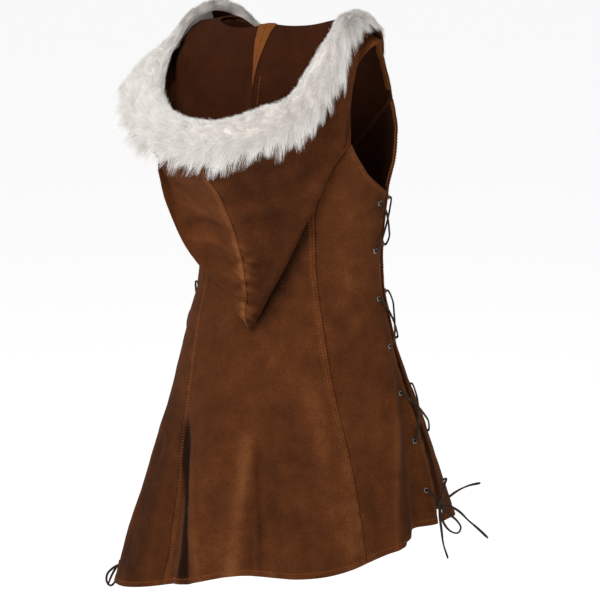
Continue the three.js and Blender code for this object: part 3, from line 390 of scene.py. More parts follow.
SUEDE = suede("suede", [(0.02, (34, 16, 7)), (0.3, (72, 38, 18)), (0.5, (92, 50, 24)),
                        (0.95, (136, 86, 50))])
LINING = suede("flesh_side", [(0.05, (30, 13, 6)), (0.45, (60, 29, 13)), (0.95, (92, 50, 26))],
               sheen=0.06)
TURNED = suede("turned_edge", [(0.05, (92, 50, 22)), (0.45, (124, 71, 34)),
                               (0.95, (154, 96, 52))], sheen=0.08)
THREAD = suede("thread", [(0.05, (84, 43, 19)), (0.5, (138, 78, 38)), (0.95, (164, 100, 55))],
               rough=0.6, sheen=0.05, grain=0.3)
THONG = suede("thong", [(0.05, (26, 18, 13)), (0.45, (52, 38, 29)), (0.95, (92, 72, 57))],
              rough=0.6, sheen=0.08, tint=(0.5, 0.4, 0.32, 1), grain=0.5)


def make_fur():
    material, tree, shader = new_material("fur")
    colour = tree.nodes.new("ShaderNodeAttribute")
    colour.attribute_name = "hair"
    tree.links.new(colour.outputs["Color"], shader.inputs["Base Color"])
    shader.inputs["Roughness"].default_value = 0.75
    shader.inputs["Specular IOR Level"].default_value = 0.25
    shader.inputs["Sheen Weight"].default_value = 0.25
    # the hair colour also glows faintly: painted light that brightens the fur in place of light
    # scattered through it
    tree.links.new(colour.outputs["Color"], shader.inputs["Emission Color"])
    shader.inputs["Emission Strength"].default_value = 0.17
    return material


def make_eyelet():
    material, tree, shader = new_material("eyelet_metal")
    tree.links.new(ramp(tree, noise(tree, 500, 3), [(0.3, (98, 94, 90)),
                                                    (0.7, (150, 146, 141))]),
                   shader.inputs["Base Color"])
    shader.inputs["Metallic"].default_value = 1.0
    shader.inputs["Roughness"].default_value = 0.33
    bump(tree, shader, [(noise(tree, 900, 3), 0.00005)])
    return material


FUR = make_fur()
EYELET = make_eyelet()


# ---------------------------------------------------------------- meshes
def make_object(name, points, faces, materials, ids=None, attributes=None, sharp=None,
                replaces=()):
    """points in mm, faces as one array of quads or a list of lists."""
    mesh = bpy.data.meshes.new(name)
    points = np.asarray(points, float) * MM
    if isinstance(faces, np.ndarray):
        count, sides = faces.shape
        mesh.vertices.add(len(points))
        mesh.vertices.foreach_set("co", points.astype(np.float32).ravel())
        mesh.loops.add(count * sides)
        mesh.loops.foreach_set("vertex_index", faces.astype(np.int32).ravel())
        mesh.polygons.add(count)
        mesh.polygons.foreach_set("loop_start", np.arange(count, dtype=np.int32) * sides)
        mesh.update(calc_edges=True)
    else:
        mesh.from_pydata(points.tolist(), [], [list(f) for f in faces])
        mesh.update()
    for material in materials:
        mesh.materials.append(material)
    if ids is not None:
        mesh.polygons.foreach_set("material_index", np.asarray(ids, np.int32))
    mesh.polygons.foreach_set("use_smooth", np.ones(len(mesh.polygons), bool))
    for key, values in (attributes or {}).items():
        values = np.asarray(values, np.float32)
        if values.ndim == 1:
            made = mesh.attributes.new(key, "FLOAT", "POINT")
            made.data.foreach_set("value", values)
        else:
            made = mesh.attributes.new(key, "FLOAT_COLOR", "POINT")
            made.data.foreach_set("color", values.ravel())
    if sharp is not None:
        mesh.set_sharp_from_angle(angle=math.radians(sharp))
    obj = bpy.data.objects.new(name, mesh)
    bpy.context.scene.collection.objects.link(obj)
    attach(obj, "root")
    if replaces:
        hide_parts(*replaces)
    return obj


# the eight neighbours of a grid's point, in turn
AROUND = [(-1, -1), (0, -1), (1, -1), (1, 0), (1, 1), (0, 1), (-1, 1), (-1, 0)]


def grid_faces(index, skip):
    quads = np.stack([index[:-1, :-1], index[1:, :-1], index[1:, 1:], index[:-1, 1:]], -1)
    return quads[~skip]


def shell(outer, inner, holes=()):
    """Points, quads and material ids of a closed wall between two grids. holes are blocks of
    two by two quads, named by their middle vertex, whose rims are joined through the wall."""
    ni, nj = outer.shape[:2]
    size = ni * nj
    points = np.vstack([outer.reshape(-1, 3), inner.reshape(-1, 3)])
    skip = np.zeros((ni - 1, nj - 1), bool)
    for i, j in holes:
        skip[i - 1:i + 1, j - 1:j + 1] = True
    index = np.arange(size).reshape(ni, nj)
    top = grid_faces(index, skip)
    bottom = grid_faces(index + size, skip)[:, ::-1]

    def rim(line):
        return np.stack([line[1:], line[:-1], line[:-1] + size, line[1:] + size], -1)

    rims = [rim(index[:, 0]), rim(index[::-1, -1]), rim(index[0, ::-1]), rim(index[-1, :])]
    for i, j in holes:
        rims.append(rim(np.array([index[i + p, j + q] for p, q in AROUND + AROUND[:1]])[::-1]))
    faces = np.vstack([top, bottom] + rims)
    ids = np.concatenate([np.zeros(len(top)), np.ones(len(bottom)),
                          np.zeros(sum(len(r) for r in rims))])
    p, q, r = (points[top[:, k]] for k in range(3))
    away = outer.reshape(-1, 3)[top[:, 0]] - inner.reshape(-1, 3)[top[:, 0]]
    if (np.cross(q - p, r - p) * away).sum() < 0:
        faces = faces[:, ::-1]
    used = np.unique(faces)
    renumber = np.full(len(points), -1)
    renumber[used] = np.arange(len(used))
    return points[used], renumber[faces], ids, used


BASE_TONE = 0.42
INNER_TONE = 0.6     # the share of the outer face's unevenness that the inner face shows


def leather_piece(name, outer, inner, materials, tone=None, sharp=60, holes=(),
                  turned=None):
    """A wall of leather in place of the solid called name. turned marks the quads of the
    inner face that have the outer face's material."""
    points, faces, ids, used = shell(outer, inner, holes)
    if turned is not None:
        ids[len(turned):2 * len(turned)][turned] = 0
    if tone is None:
        tone = np.zeros(outer.shape[:2])
    tones = np.concatenate([tone.ravel(), tone.ravel() * INNER_TONE])[used] + BASE_TONE
    make_object(name + "_suede", points, faces, materials, ids=ids,
                attributes={"tone": tones}, sharp=sharp, replaces=[name])


def grid_normals(grid, outward):
    """Directions square to a grid's surface, on the side that outward points to."""
    along = np.gradient(grid, axis=0)
    down = np.gradient(grid, axis=1)
    n = unit(np.cross(along, down))
    return n * np.sign(np.median((n * outward).sum(-1)))


def tube(path, half_width, half_height, across, sides=10):
    """A flat or round cord: its section is an ellipse, its width lies along across."""
    path = np.asarray(path, float)
    along = unit(np.gradient(path, axis=0))
    across = across - (across * along).sum(-1, keepdims=True) * along
    across = unit(across)
    other = np.cross(along, across)
    turn = full_turn(sides)
    c, s = np.cos(turn), np.sin(turn)
    c, s = np.sign(c) * np.abs(c) ** 0.75, np.sign(s) * np.abs(s) ** 0.75
    width = np.broadcast_to(half_width, len(path))[:, None, None]
    height = np.broadcast_to(half_height, len(path))[:, None, None]
    rings = (path[:, None] + across[:, None] * c[None, :, None] * width
             + other[:, None] * s[None, :, None] * height)
    n = len(path)
    points = np.vstack([rings.reshape(-1, 3), path[:1], path[-1:]])
    index = np.arange(n * sides).reshape(n, sides)
    nxt = np.roll(index, -1, axis=1)
    faces = face_list([index[:-1], nxt[:-1], nxt[1:], index[1:]])
    faces += [(index[0, (k + 1) % sides], index[0, k], n * sides) for k in range(sides)]
    faces += [(index[-1, k], index[-1, (k + 1) % sides], n * sides + 1) for k in range(sides)]
    return points, faces


def carried(path, start):
    """A direction carried along a path without twist."""
    along = unit(np.gradient(np.asarray(path, float), axis=0))
    out = []
    at = np.asarray(start, float)
    for t in along:
        at = unit(at - t * np.dot(at, t))
        out.append(at)
    return np.array(out)


def joined(parts):
    """One set of points and faces from several."""
    points, faces, offset = [], [], 0
    for p, f in parts:
        points.append(p)
        faces.extend(tuple(int(k) + offset for k in face) for face in f)
        offset += len(p)
    return np.vstack(points), faces


# ---------------------------------------------------------------- the bows' free ends
CORD_WIDTH = 3.8
CORD_THICKNESS = 2.5


def bow_route(name):
    leave, points, arrive = BOW_ROUTES[name]
    knot = np.array(KNOTS[name.split("_")[1]], float)
    on_knot = [knot + unit(d) * (KNOT_RADIUS + KNOT_GAP) for d in (leave, arrive) if d]
    route = [on_knot[0], *points] + on_knot[1:]
    return evenly(catmull(route, np.linspace(0, 1, 200)), 36)


for name in BOW_ROUTES:
    route = bow_route(name)
    wave = rng.normal(size=3)
    across = carried(route, np.cross(unit(route[1] - route[0]), unit(wave)))
    along = arc(route) / arc(route)[-1]
    twist = (rng.uniform(0.6, 1.4) * along * math.pi)[:, None]
    forwards = unit(np.gradient(route, axis=0))
    across = across * np.cos(twist) + np.cross(forwards, across) * np.sin(twist)
    loop = BOW_ROUTES[name][2] is not None
    taper = np.ones(len(route)) if loop else np.interp(along, [0.94, 1], [1, 0.72])
    points, faces = tube(route, CORD_WIDTH / 2 * taper, CORD_THICKNESS / 2 * taper, across)
    obj = make_object(name + "_thong", points, faces, [THONG], replaces=[name],
                      attributes={"tone": np.full(len(points), BASE_TONE)}, sharp=55)


# ---------------------------------------------------------------- the filled-out form
def shoulder_z(x):
    out = np.abs(x) - NECK_HALF_WIDTH
    return np.where(out > 0, -SHOULDER_SLOPE * out, -NECK_RISE * out)


def flute(theta, z):
    total = 0
    for start, angle, width, depth, top in FLUTES:
        grown = np.clip((top - z) / (top - FLUTE_FULL_Z), 0, 1.15) ** 1.3
        at = lerp(start, angle, np.minimum(1, grown))
        away = (theta - at + 900) % 360 - 180
        total = total + depth * grown * bell(away, width)
    return total


def form(theta, z):
    """A point of the filled-out body's outer surface."""
    theta, z = np.broadcast_arrays(np.asarray(theta, float), np.asarray(z, float))
    s, c = np.sin(np.radians(theta)), np.cos(np.radians(theta))
    fl = flute(theta, z)
    x = MIDDLE(z) - (HALF_WIDTH(z) + fl) * s
    depth = np.where(c > 0, BACK(z), FRONT(z)) + fl
    tau = np.clip((z - UNDERARM_Z) / (shoulder_z(x) - UNDERARM_Z), 0, 1)
    closing = (1 - tau**SHOULDER_POWER) ** (1 / SHOULDER_POWER)
    side = np.where(z > UNDERARM_Z, np.sign(c) * SEAM_GAP / 2, 0)
    return np.stack([x, depth * c * closing + side, z], -1)


def upper(theta, phi):
    """The same surface over the underarm, phi being 0 there and 90 on the shoulder's ridge."""
    theta, phi = np.broadcast_arrays(np.asarray(theta, float), np.asarray(phi, float))
    s, c = np.sin(np.radians(theta)), np.cos(np.radians(theta))
    p = np.radians(phi)
    tau = np.sin(p) ** (2 / SHOULDER_POWER)
    closing = np.where(phi > 89.99, 0, np.maximum(np.cos(p), 0) ** (2 / SHOULDER_POWER))
    z = UNDERARM_Z * (1 - tau)
    for _ in range(4):
        x = MIDDLE(z) - HALF_WIDTH(z) * s
        z = UNDERARM_Z + tau * (shoulder_z(x) - UNDERARM_Z)
    depth = np.where(c > 0, BACK(z), FRONT(z))
    return np.stack([x, depth * c * closing + np.sign(c) * SEAM_GAP / 2, z], -1)


def phi_at(theta, z):
    x = form(theta, z)[..., 0]
    tau = np.clip((z - UNDERARM_Z) / (shoulder_z(x) - UNDERARM_Z), 0, 1)
    return np.degrees(np.arcsin(tau ** (SHOULDER_POWER / 2)))


def neck_phi(theta):
    theta = np.asarray(theta, float)
    back = np.cos(np.radians(theta)) > 0
    low = np.where(back, NECK_THETA_LEFT, 180 - NECK_THETA_RIGHT)
    high = np.where(back, NECK_THETA_RIGHT, 180 - NECK_THETA_LEFT)
    u = 2 * (theta - low) / (high - low) - 1
    reach = np.where(back, BACK_NECK_DEPTH, FRONT_NECK_DEPTH) * np.sqrt(np.maximum(0, 1 - u * u))
    depth = np.where(back, BACK(-20), FRONT(-20)) * np.abs(np.cos(np.radians(theta)))
    closing = np.clip(reach / depth, 0, 0.999)
    phi = np.degrees(np.arccos(closing ** (SHOULDER_POWER / 2)))
    return np.where(np.abs(u) >= 1, 90, phi)


def form_normal(theta, z):
    d = form(theta + 0.5, z) - form(theta - 0.5, z)
    up = form(theta, z + 2.0) - form(theta, z - 2.0)
    n = unit(np.cross(d, up))
    t = np.radians(theta)
    outward = np.stack([-np.sin(t), np.cos(t), np.zeros_like(t * 1.0)], -1)
    return n * np.where((n * outward).sum(-1, keepdims=True) < 0, -1, 1)


def upper_normal(theta, phi):
    if phi > 89:
        return np.array([0, 0, 1.0])
    p = min(max(phi, 1), 88)
    n = unit(np.cross(upper(theta + 0.5, p) - upper(theta - 0.5, p),
                      upper(theta, p + 0.5) - upper(theta, p - 0.5)))
    t = math.radians(theta)
    outward = np.array([-math.sin(t) * 0.6, math.cos(t) * 0.6, 0.8])
    return n if np.dot(n, outward) > 0 else -n


# ---------------------------------------------------------------- creases listed one by one
# Each is a soft line over the body: its points as (theta, z), width and depth in mm. A depth
# above 0 is a ridge, below 0 a trough.
BODY_CREASES = [
    # back, left: the deep trough and the sharp edge that falls into it
    ([(-37, -560), (-36, -636), (-28.5, -684), (-20.5, -730), (-15, -782)], 8, -6.5),
    ([(-30, -570), (-27, -628), (-20, -674), (-14, -730), (-10.5, -778)], 5, 3.8),
    # back, right flute: a sharp ridge and the trough beside it
    ([(88, -496), (77, -542), (71, -594), (64.5, -660), (60.5, -728)], 5, 4.2),
    ([(95, -520), (84, -560), (78, -610), (72, -665), (68, -722)], 8, -4.5),
    # the middle flute's crest and its crisp edge
    ([(1, -530), (0.5, -620), (0.5, -688), (0, -766)], 12, 2.8),
    ([(2.5, -590), (4.5, -686), (6.5, -762)], 4, -2.0),
    ([(-3.5, -600), (-6, -704), (-5.5, -768)], 7, 1.6),
    # small ones, and pulls from the waist
    ([(1, -566), (4, -584), (8.5, -610), (10, -626)], 5, -2.0),
    ([(-14, -532), (-10, -526), (-3.5, -514), (3.5, -506), (9, -504)], 8, -2.2),
    ([(36, -482), (43.5, -470), (55, -450), (69, -430), (78, -424)], 9, -2.6),
    ([(40, -452), (52, -436), (64, -414), (74, -404)], 9, 1.8),
    ([(28, -460), (29.5, -498), (32, -556), (34, -610), (36, -650)], 12, 2.6),
    ([(42, -560), (43, -598), (43, -664), (42, -734)], 10, 1.8),
    ([(20, -640), (22, -664), (25, -698), (27.5, -746)], 9, -2.6),
    ([(9, -580), (11, -616), (15, -682), (18, -756)], 10, -2.0),
    ([(52, -600), (54, -660), (55, -722)], 9, -2.0),
    ([(-58, -560), (-60, -660), (-62, -842)], 12, -2.6),
    ([(-48, -560), (-48, -660), (-47, -826)], 9, 2.0),
    ([(-76, -520), (-78, -640), (-80, -820)], 9, 2.2),
    ([(-34, -380), (-20, -398), (-6, -390)], 11, -1.8),
    ([(60, -250), (70, -262), (82, -252)], 9, -1.6),
    ([(56, -300), (68, -318), (84, -310)], 9, -1.6),
    ([(50, -350), (66, -362), (84, -346)], 10, 1.4),
    # front and sides, similar
    ([(110, -500), (112, -590), (113, -728)], 7, 2.8),
    ([(122, -500), (124, -600), (125, -735)], 9, -3.2),
    ([(150, -480), (152, -580), (153, -752)], 8, 2.6),
    ([(160, -540), (163, -640), (164, -760)], 7, -2.2),
    ([(172, -520), (176, -620), (178, -772)], 10, -3.0),
    ([(190, -500), (189, -600), (188, -788)], 7, 2.6),
    ([(206, -480), (205, -600), (204, -812)], 9, 2.8),
    ([(222, -500), (224, -620), (225, -838)], 9, -3.2),
    ([(242, -500), (244, -640), (245, -852)], 7, 2.6),
    ([(254, -520), (256, -650), (256, -862)], 8, -2.0),
    ([(150, -372), (166, -398), (182, -390)], 11, -1.9),
    ([(196, -402), (210, -382), (224, -350)], 10, -2.0),
    ([(164, -262), (180, -276), (196, -262)], 14, -1.6),
    ([(128, -230), (140, -256), (148, -292)], 10, -1.8),
    ([(232, -230), (221, -256), (212, -292)], 10, -1.8),
    ([(-70, -300), (-58, -322), (-46, -318)], 10, -1.5),
    ([(-84, -392), (-70, -402), (-54, -392)], 10, -1.8),
]


def along_line(points, p):
    """Distance from each point to a line of points, and the place along it from 0 to 1."""
    best = np.full(len(p), 1e9)
    place = np.zeros(len(p))
    length = arc(points)
    for k in range(len(points) - 1):
        a, b = points[k], points[k + 1]
        step = b - a
        t = np.clip(((p - a) @ step) / (step @ step), 0, 1)
        d = np.linalg.norm(p - (a + t[:, None] * step), axis=-1)
        nearer = d < best
        best = np.where(nearer, d, best)
        place = np.where(nearer, (length[k] + t * (length[k + 1] - length[k])) / length[-1], place)
    return best, place


def crease_relief(p, creases):
    """Height in mm over the points p of all creases, which fade at their upper ends."""
    total = np.zeros(len(p))
    for line, width, depth in creases:
        low, high = line.min(0) - 3 * abs(width), line.max(0) + 3 * abs(width)
        near = np.all((p > low) & (p < high), axis=-1)
        if not near.any():
            continue
        d, place = along_line(line, p[near])
        fade = smooth(place / 0.35) * np.where(line[-1, 2] < -690, 1, smooth((1 - place) / 0.35))
        total[near] += depth * bell(d, width) * fade
    return total


def on_form(points):
    """A line over the body through (theta, z) places."""
    dense = catmull([(t, z, 0) for t, z in points], np.linspace(0, 1, 4 * len(points)))
    return form(dense[:, 0], dense[:, 1])


CREASES = [(on_form(points), width, depth) for points, width, depth in BODY_CREASES]


def waves(p, seed, size, count=24):
    """Smooth unevenness from -1 to 1 with bumps about size mm across."""
    r = np.random.default_rng(seed)
    total = np.zeros(p.shape[:-1])
    for _ in range(count):
        direction = unit(r.normal(size=3)) * 2 * math.pi / (size * r.uniform(0.6, 1.7))
        total += np.sin(p @ direction + r.uniform(0, 2 * math.pi))
    return total / math.sqrt(count)


# ---------------------------------------------------------------- stitches
STITCH_LENGTH = 2.9
STITCH_PITCH = 4.5
STITCH_RADIUS = 0.56
STITCH_SINK = 0.05
STITCH_SIDES = 6
stitches = {}


def stitch_row(group, line, normals, pitch=STITCH_PITCH, length=STITCH_LENGTH):
    """One small thread stitch every pitch along a line."""
    along = arc(line)
    places = np.arange(pitch / 2, along[-1] - pitch / 2, pitch)
    if len(places) == 0:
        return
    ends = []
    for offset in (-length / 2, 0, length / 2):
        at = np.clip(places + offset, 0, along[-1])
        ends.append(np.stack([np.interp(at, along, line[:, k]) for k in range(3)], -1))
    n = unit(np.stack([np.interp(places, along, normals[:, k]) for k in range(3)], -1))
    t = unit(ends[2] - ends[0])
    side = np.cross(n, t)
    turn = full_turn(STITCH_SIDES)
    rows = []
    wobble = rng.normal(0, 0.12, (len(places), 1))
    for share in (-0.34, 0.34):
        middle = (ends[1] + t * length * share + n * (0.3 - STITCH_SINK)
                  + side * wobble * np.sign(share))
        rows.append(middle[:, None] + side[:, None] * np.cos(turn)[None, :, None] * STITCH_RADIUS
                    + n[:, None] * np.sin(turn)[None, :, None] * STITCH_RADIUS * 0.75)
    tips = [(end - n * 0.25)[:, None] for end in (ends[0], ends[2])]
    stitches.setdefault(group, []).append(np.concatenate(rows + tips, axis=1))


def stitch_object(group, name, tone):
    blocks = np.concatenate(stitches[group])
    count, each = blocks.shape[:2]
    one = []
    n = STITCH_SIDES
    for k in range(n):
        m = (k + 1) % n
        one += [(k, m, n + m), (k, n + m, n + k), (m, k, 2 * n), (n + k, n + m, 2 * n + 1)]
    faces = (np.array(one)[None] + (np.arange(count) * each)[:, None, None]).reshape(-1, 3)
    values = np.repeat(tone + rng.normal(0, 0.06, count), each)
    make_object(name, blocks.reshape(-1, 3), faces, [THREAD],
                attributes={"tone": values})


# ---------------------------------------------------------------- body panels
# distances from a panel's edge at which a line of its mesh runs; stitches lie on some
EDGE_LINES = np.array([0, 0.5, 1.1, 1.8, 2.4, 3.1, 4.0, 5.0, 5.9, 6.7, 7.4, 8.1, 9.2, 10.6,
                       12.6, 15])
STITCH_NEAR, STITCH_FAR = 2.4, 7.4
HEM_STITCH = 7.4
EDGE_STITCH = 5.9
PANEL_STEP = 3.3
PANEL_RISE = 4.2
UPPER_ROWS = 33      # rows of a middle panel over the underarm


def spaced(total, step=PANEL_STEP, count=None):
    """Distances over a width: close together by both edges."""
    edge = EDGE_LINES
    if count is None:
        count = max(2, int((np.median(total) - 2 * edge[-1]) / step))
    total = np.atleast_1d(total)
    middle = edge[-1] + (total[:, None] - 2 * edge[-1]) * np.arange(1, count + 1) / (count + 1)
    return np.hstack([np.tile(edge, (len(total), 1)), middle, total[:, None] - edge[::-1]])


def edge_line(rows, top, shift=0.0):
    at = curve(rows)
    start = float(hem_z(at(HEM_Z)))

    def line(v):
        z = lerp(start, top, np.asarray(v, float))
        return at(z) + shift, z

    return line


def coons(left, right, bottom, top, u, v):
    """A patch between four lines, in (theta, z)."""
    out = []
    for k in (0, 1):
        l0, r0, l1, r1 = left(0)[k], right(0)[k], left(1)[k], right(1)[k]
        out.append(lerp(left(v)[k], right(v)[k], u) + lerp(bottom(u)[k], top(u)[k], v)
                   - lerp(lerp(l0, r0, u), lerp(l1, r1, u), v))
    return out


def hem_line(a, b):
    def line(u):
        theta = lerp(a[0], b[0], u)
        return theta, hem_z(theta)
    return line


def straight(a, b):
    return lambda u: (lerp(a[0], b[0], u), lerp(a[1], b[1], u))


def widths(surface, axis):
    """Lengths of the surface's lines, on a coarse grid of u and v."""
    k = np.linspace(0, 1, 60)
    u, v = np.meshgrid(k, k, indexing="ij")
    p = surface(u, v)
    total = np.linalg.norm(np.diff(p, axis=axis), axis=-1).sum(axis)
    return lambda q: np.interp(q, k, total)


def fine_places(surface):
    """u and v of a fine grid whose outer lines keep set distances from the edges."""
    across, upward = widths(surface, 0), widths(surface, 1)
    height = float(upward(0.5))
    v0 = spaced(height, PANEL_RISE)[0] / height
    total = across(v0)
    u = (spaced(total) / total[:, None]).T
    heights = upward(u.mean(1))
    v = spaced(heights, count=len(v0) - 2 * len(EDGE_LINES)) / heights[:, None]
    return u, v


def strap_edge(rows, sign, offset, start):
    at = curve(rows)
    return lambda t: sign * (start + (at(t) - rows[0][1])) + offset


def middle_panel(left_rows, right_rows, top, strap, side):
    """The centre back or front: up to the armholes' start, and over it to the shoulders."""
    left = edge_line(left_rows, top, SEAM_HALF_TURN)
    right = edge_line(right_rows, top, -SEAM_HALF_TURN)
    bottom, cap = hem_line(left(0), right(0)), straight(left(1), right(1))
    neck = ((NECK_THETA_LEFT, NECK_THETA_RIGHT) if side == "back"
            else (180 - NECK_THETA_RIGHT, 180 - NECK_THETA_LEFT))

    def lower_surface(u, v):
        theta, z = coons(left, right, bottom, cap, u, v)
        return form(theta, z)

    def upper_surface(u, t):
        start = lerp(left(1)[0], right(1)[0], u)
        level = lerp(strap[0](t), strap[1](t), u)
        ends = strap[0](1), strap[1](1)
        top_theta = np.where(u <= 1 / 6, lerp(ends[0], neck[0], u * 6),
                             np.where(u >= 5 / 6, lerp(neck[1], ends[1], (u - 5 / 6) * 6),
                                      lerp(neck[0], neck[1], (u - 1 / 6) * 1.5)))
        theta = lerp(level, top_theta + level - lerp(ends[0], ends[1], u), smooth(t))
        phi = lerp(phi_at(start, np.full_like(start, top)), neck_phi(top_theta), t)
        return upper(theta, phi)

    u, v = fine_places(lower_surface)
    lower = lower_surface(u, v)
    rows = np.linspace(0, 1, UPPER_ROWS + 1)[1:]
    across = widths(upper_surface, 0)
    total = across(rows)
    u_top = (spaced(total, count=u.shape[0] - 2 * len(EDGE_LINES)) / total[:, None]).T
    blend = smooth(np.linspace(0, 1, len(rows)) * 3)
    u_top = u[:, -1:] * (1 - blend) + u_top * blend
    above = upper_surface(u_top, np.tile(rows, (u.shape[0], 1)))
    return {"grid": np.concatenate([lower, above], axis=1), "join": lower.shape[1]}


def side_panel(seam_rows, seam_top, edge_rows, armhole, towards):
    """A panel from a seam to a laced edge; its top is the armhole."""
    half = SEAM_HALF_TURN * towards
    seam = edge_line(seam_rows, seam_top, half)
    edge = edge_line(edge_rows, EDGE_TOP)
    by_height = curve(armhole)

    def top(u):
        z = lerp(seam_top, EDGE_TOP, u)
        return by_height(z) + half * (1 - u), z

    bottom = hem_line(seam(0), edge(0))

    def surface(u, v):
        theta, z = coons(seam, edge, bottom, top, u, v)
        return form(theta, z)

    u, v = fine_places(surface)
    return {"grid": surface(u, v)}


def mirrored(rows):
    return [[z, -theta] for z, theta in rows]


def turned(rows, by):
    return [[z, theta + by] for z, theta in rows]


LEFT_BACK_EDGE = turned(mirrored(LACED_EDGE_BACK), LEFT_TURN)
LEFT_FRONT_EDGE = turned(mirrored(LACED_EDGE_FRONT), 360 + LEFT_TURN)
LEFT_FRONT_SEAM = turned(mirrored(FRONT_SEAM), 360)
LEFT_FRONT_ARMHOLE = [[z, theta + LEFT_TURN * k / 5] for k, (z, theta)
                      in enumerate(turned(mirrored(FRONT_ARMHOLE), 360))]
back_straps = strap_edge(BACK_STRAP, -1, 0, 56), strap_edge(BACK_STRAP, 1, 0, 52.6)
front_straps = strap_edge(FRONT_STRAP, 1, 0, 121), strap_edge(FRONT_STRAP, -1, 360, 121)

PANELS = {
    "centre_back": middle_panel(BACK_SEAM_LEFT, BACK_SEAM_RIGHT, BACK_TOP, back_straps, "back"),
    "centre_front": middle_panel(FRONT_SEAM, LEFT_FRONT_SEAM, FRONT_TOP, front_straps, "front"),
    "side_back_right": side_panel(BACK_SEAM_RIGHT, BACK_TOP, LACED_EDGE_BACK, BACK_ARMHOLE, 1),
    "side_back_left": side_panel(BACK_SEAM_LEFT, BACK_TOP, LEFT_BACK_EDGE,
                                 LEFT_BACK_ARMHOLE, -1),
    "side_front_right": side_panel(FRONT_SEAM, FRONT_TOP, LACED_EDGE_FRONT, FRONT_ARMHOLE, -1),
    "side_front_left": side_panel(LEFT_FRONT_SEAM, FRONT_TOP, LEFT_FRONT_EDGE,
                                  LEFT_FRONT_ARMHOLE, 1),
}


# ---------------------------------------------------------------- eyelet sites
def eyelet_site(side, part, row):
    z = EYELET_TOP_Z - EYELET_PITCH[side] * row
    rows = {"right": {"back": LACED_EDGE_BACK, "front": LACED_EDGE_FRONT},
            "left": {"back": LEFT_BACK_EDGE, "front": LEFT_FRONT_EDGE}}[side][part]
    edge = float(curve(rows)(z))
    away = (1 if side == "right" else -1) * (-1 if part == "back" else 1)
    thetas = edge + away * np.arange(0, 20, 0.1)
    far = np.linalg.norm(form(thetas, z) - form(edge, z), axis=-1)
    theta = float(thetas[np.argmax(far >= EYELET_INSET)])
    return {"at": form(theta, z), "out": form_normal(theta, z), "theta": theta}


SITES = {side: [{part: eyelet_site(side, part, row) for part in ("back", "front")}
                for row in range(EYELET_ROWS[side])] for side in ("right", "left")}


# ---------------------------------------------------------------- relief of the leather
def from_edges(grid):
    """Distances in mm of each point of a grid from its four edges, along its lines."""
    across = np.concatenate([np.zeros((1, grid.shape[1])), np.cumsum(
        np.linalg.norm(np.diff(grid, axis=0), axis=-1), axis=0)])
    upward = np.concatenate([np.zeros((grid.shape[0], 1)), np.cumsum(
        np.linalg.norm(np.diff(grid, axis=1), axis=-1), axis=1)], axis=1)
    return across, across[-1:] - across, upward, upward[:, -1:] - upward


def seam_profile(d, along, topstitched, seed):
    """The dip at a seam, and beside it the thicker band under two rows of stitches."""
    height = -0.75 * bell(d, 0.9)
    pucker = waves(along, seed, 16, 10) * 0.3 * bell(d, 9)
    if topstitched:
        height = height + 0.7 * (1 - smooth((d - 8.4) / 2.4))
        for row in (STITCH_NEAR, STITCH_FAR):
            height = height - 0.62 * bell(d - row, 0.8)
    else:
        height = height - 0.25 * (1 - smooth(d / 4))
    return height + pucker


def edge_profile(d, along, seed, row):
    """A turned and stitched edge."""
    height = -0.55 * bell(d, 0.55) + 0.45 * (1 - smooth((d - row - 1) / 3))
    return height - 0.38 * bell(d - row, 0.8) + waves(along, seed, 19, 10) * 0.28 * bell(d, 8)


# painted highlights on lit crests and painted shade in troughs, beside sharp edges, over the left
# skirt and under the hood: (theta, z) lines, width, tone
BODY_PAINTED_LIGHT = [
    # painted highlight on the middle flute's crest, and painted shade beside its crisp edge
    ([(2, -540), (0, -620), (-1, -690), (-1, -770)], 13, 0.2),
    ([(4, -575), (6, -640), (8.5, -700), (10, -762)], 4.5, -0.14),
    ([(30, -470), (34, -560), (38, -640), (42, -735)], 24, 0.1),
    ([(62, -480), (60, -560), (58, -640), (56, -724)], 16, 0.05),
    ([(40, -420), (52, -404), (66, -390)], 16, -0.06),
    # painted shade in the deep trough at the back's left, and beside the right flute's ridge
    ([(-40, -560), (-38, -636), (-30.5, -684), (-22.5, -730), (-17, -784)], 14, -0.5),
    ([(92, -510), (81, -556), (75, -606), (69, -662), (65, -724)], 9, -0.12),
    # painted shade over the left skirt, and painted shadow cast by the hood on the back
    ([(-54, -540), (-56, -660), (-56, -840)], 42, -0.16),
    ([(31, -240), (18.5, -326), (8, -376), (-4, -416)], 17, -0.3),
    ([(58, -230), (62, -300), (64, -380)], 30, 0.06),
    ([(42, -570), (43, -640), (43, -734)], 9, 0.08),
]
PAINTED_LIGHT_LINES = [(on_form(points), width, tone) for points, width, tone in BODY_PAINTED_LIGHT]
# how far the leather is turned in at a hem and at a laced edge
HEM_TURN = 11
LACED_TURN = 25
TURN_THICKNESS = 0.9


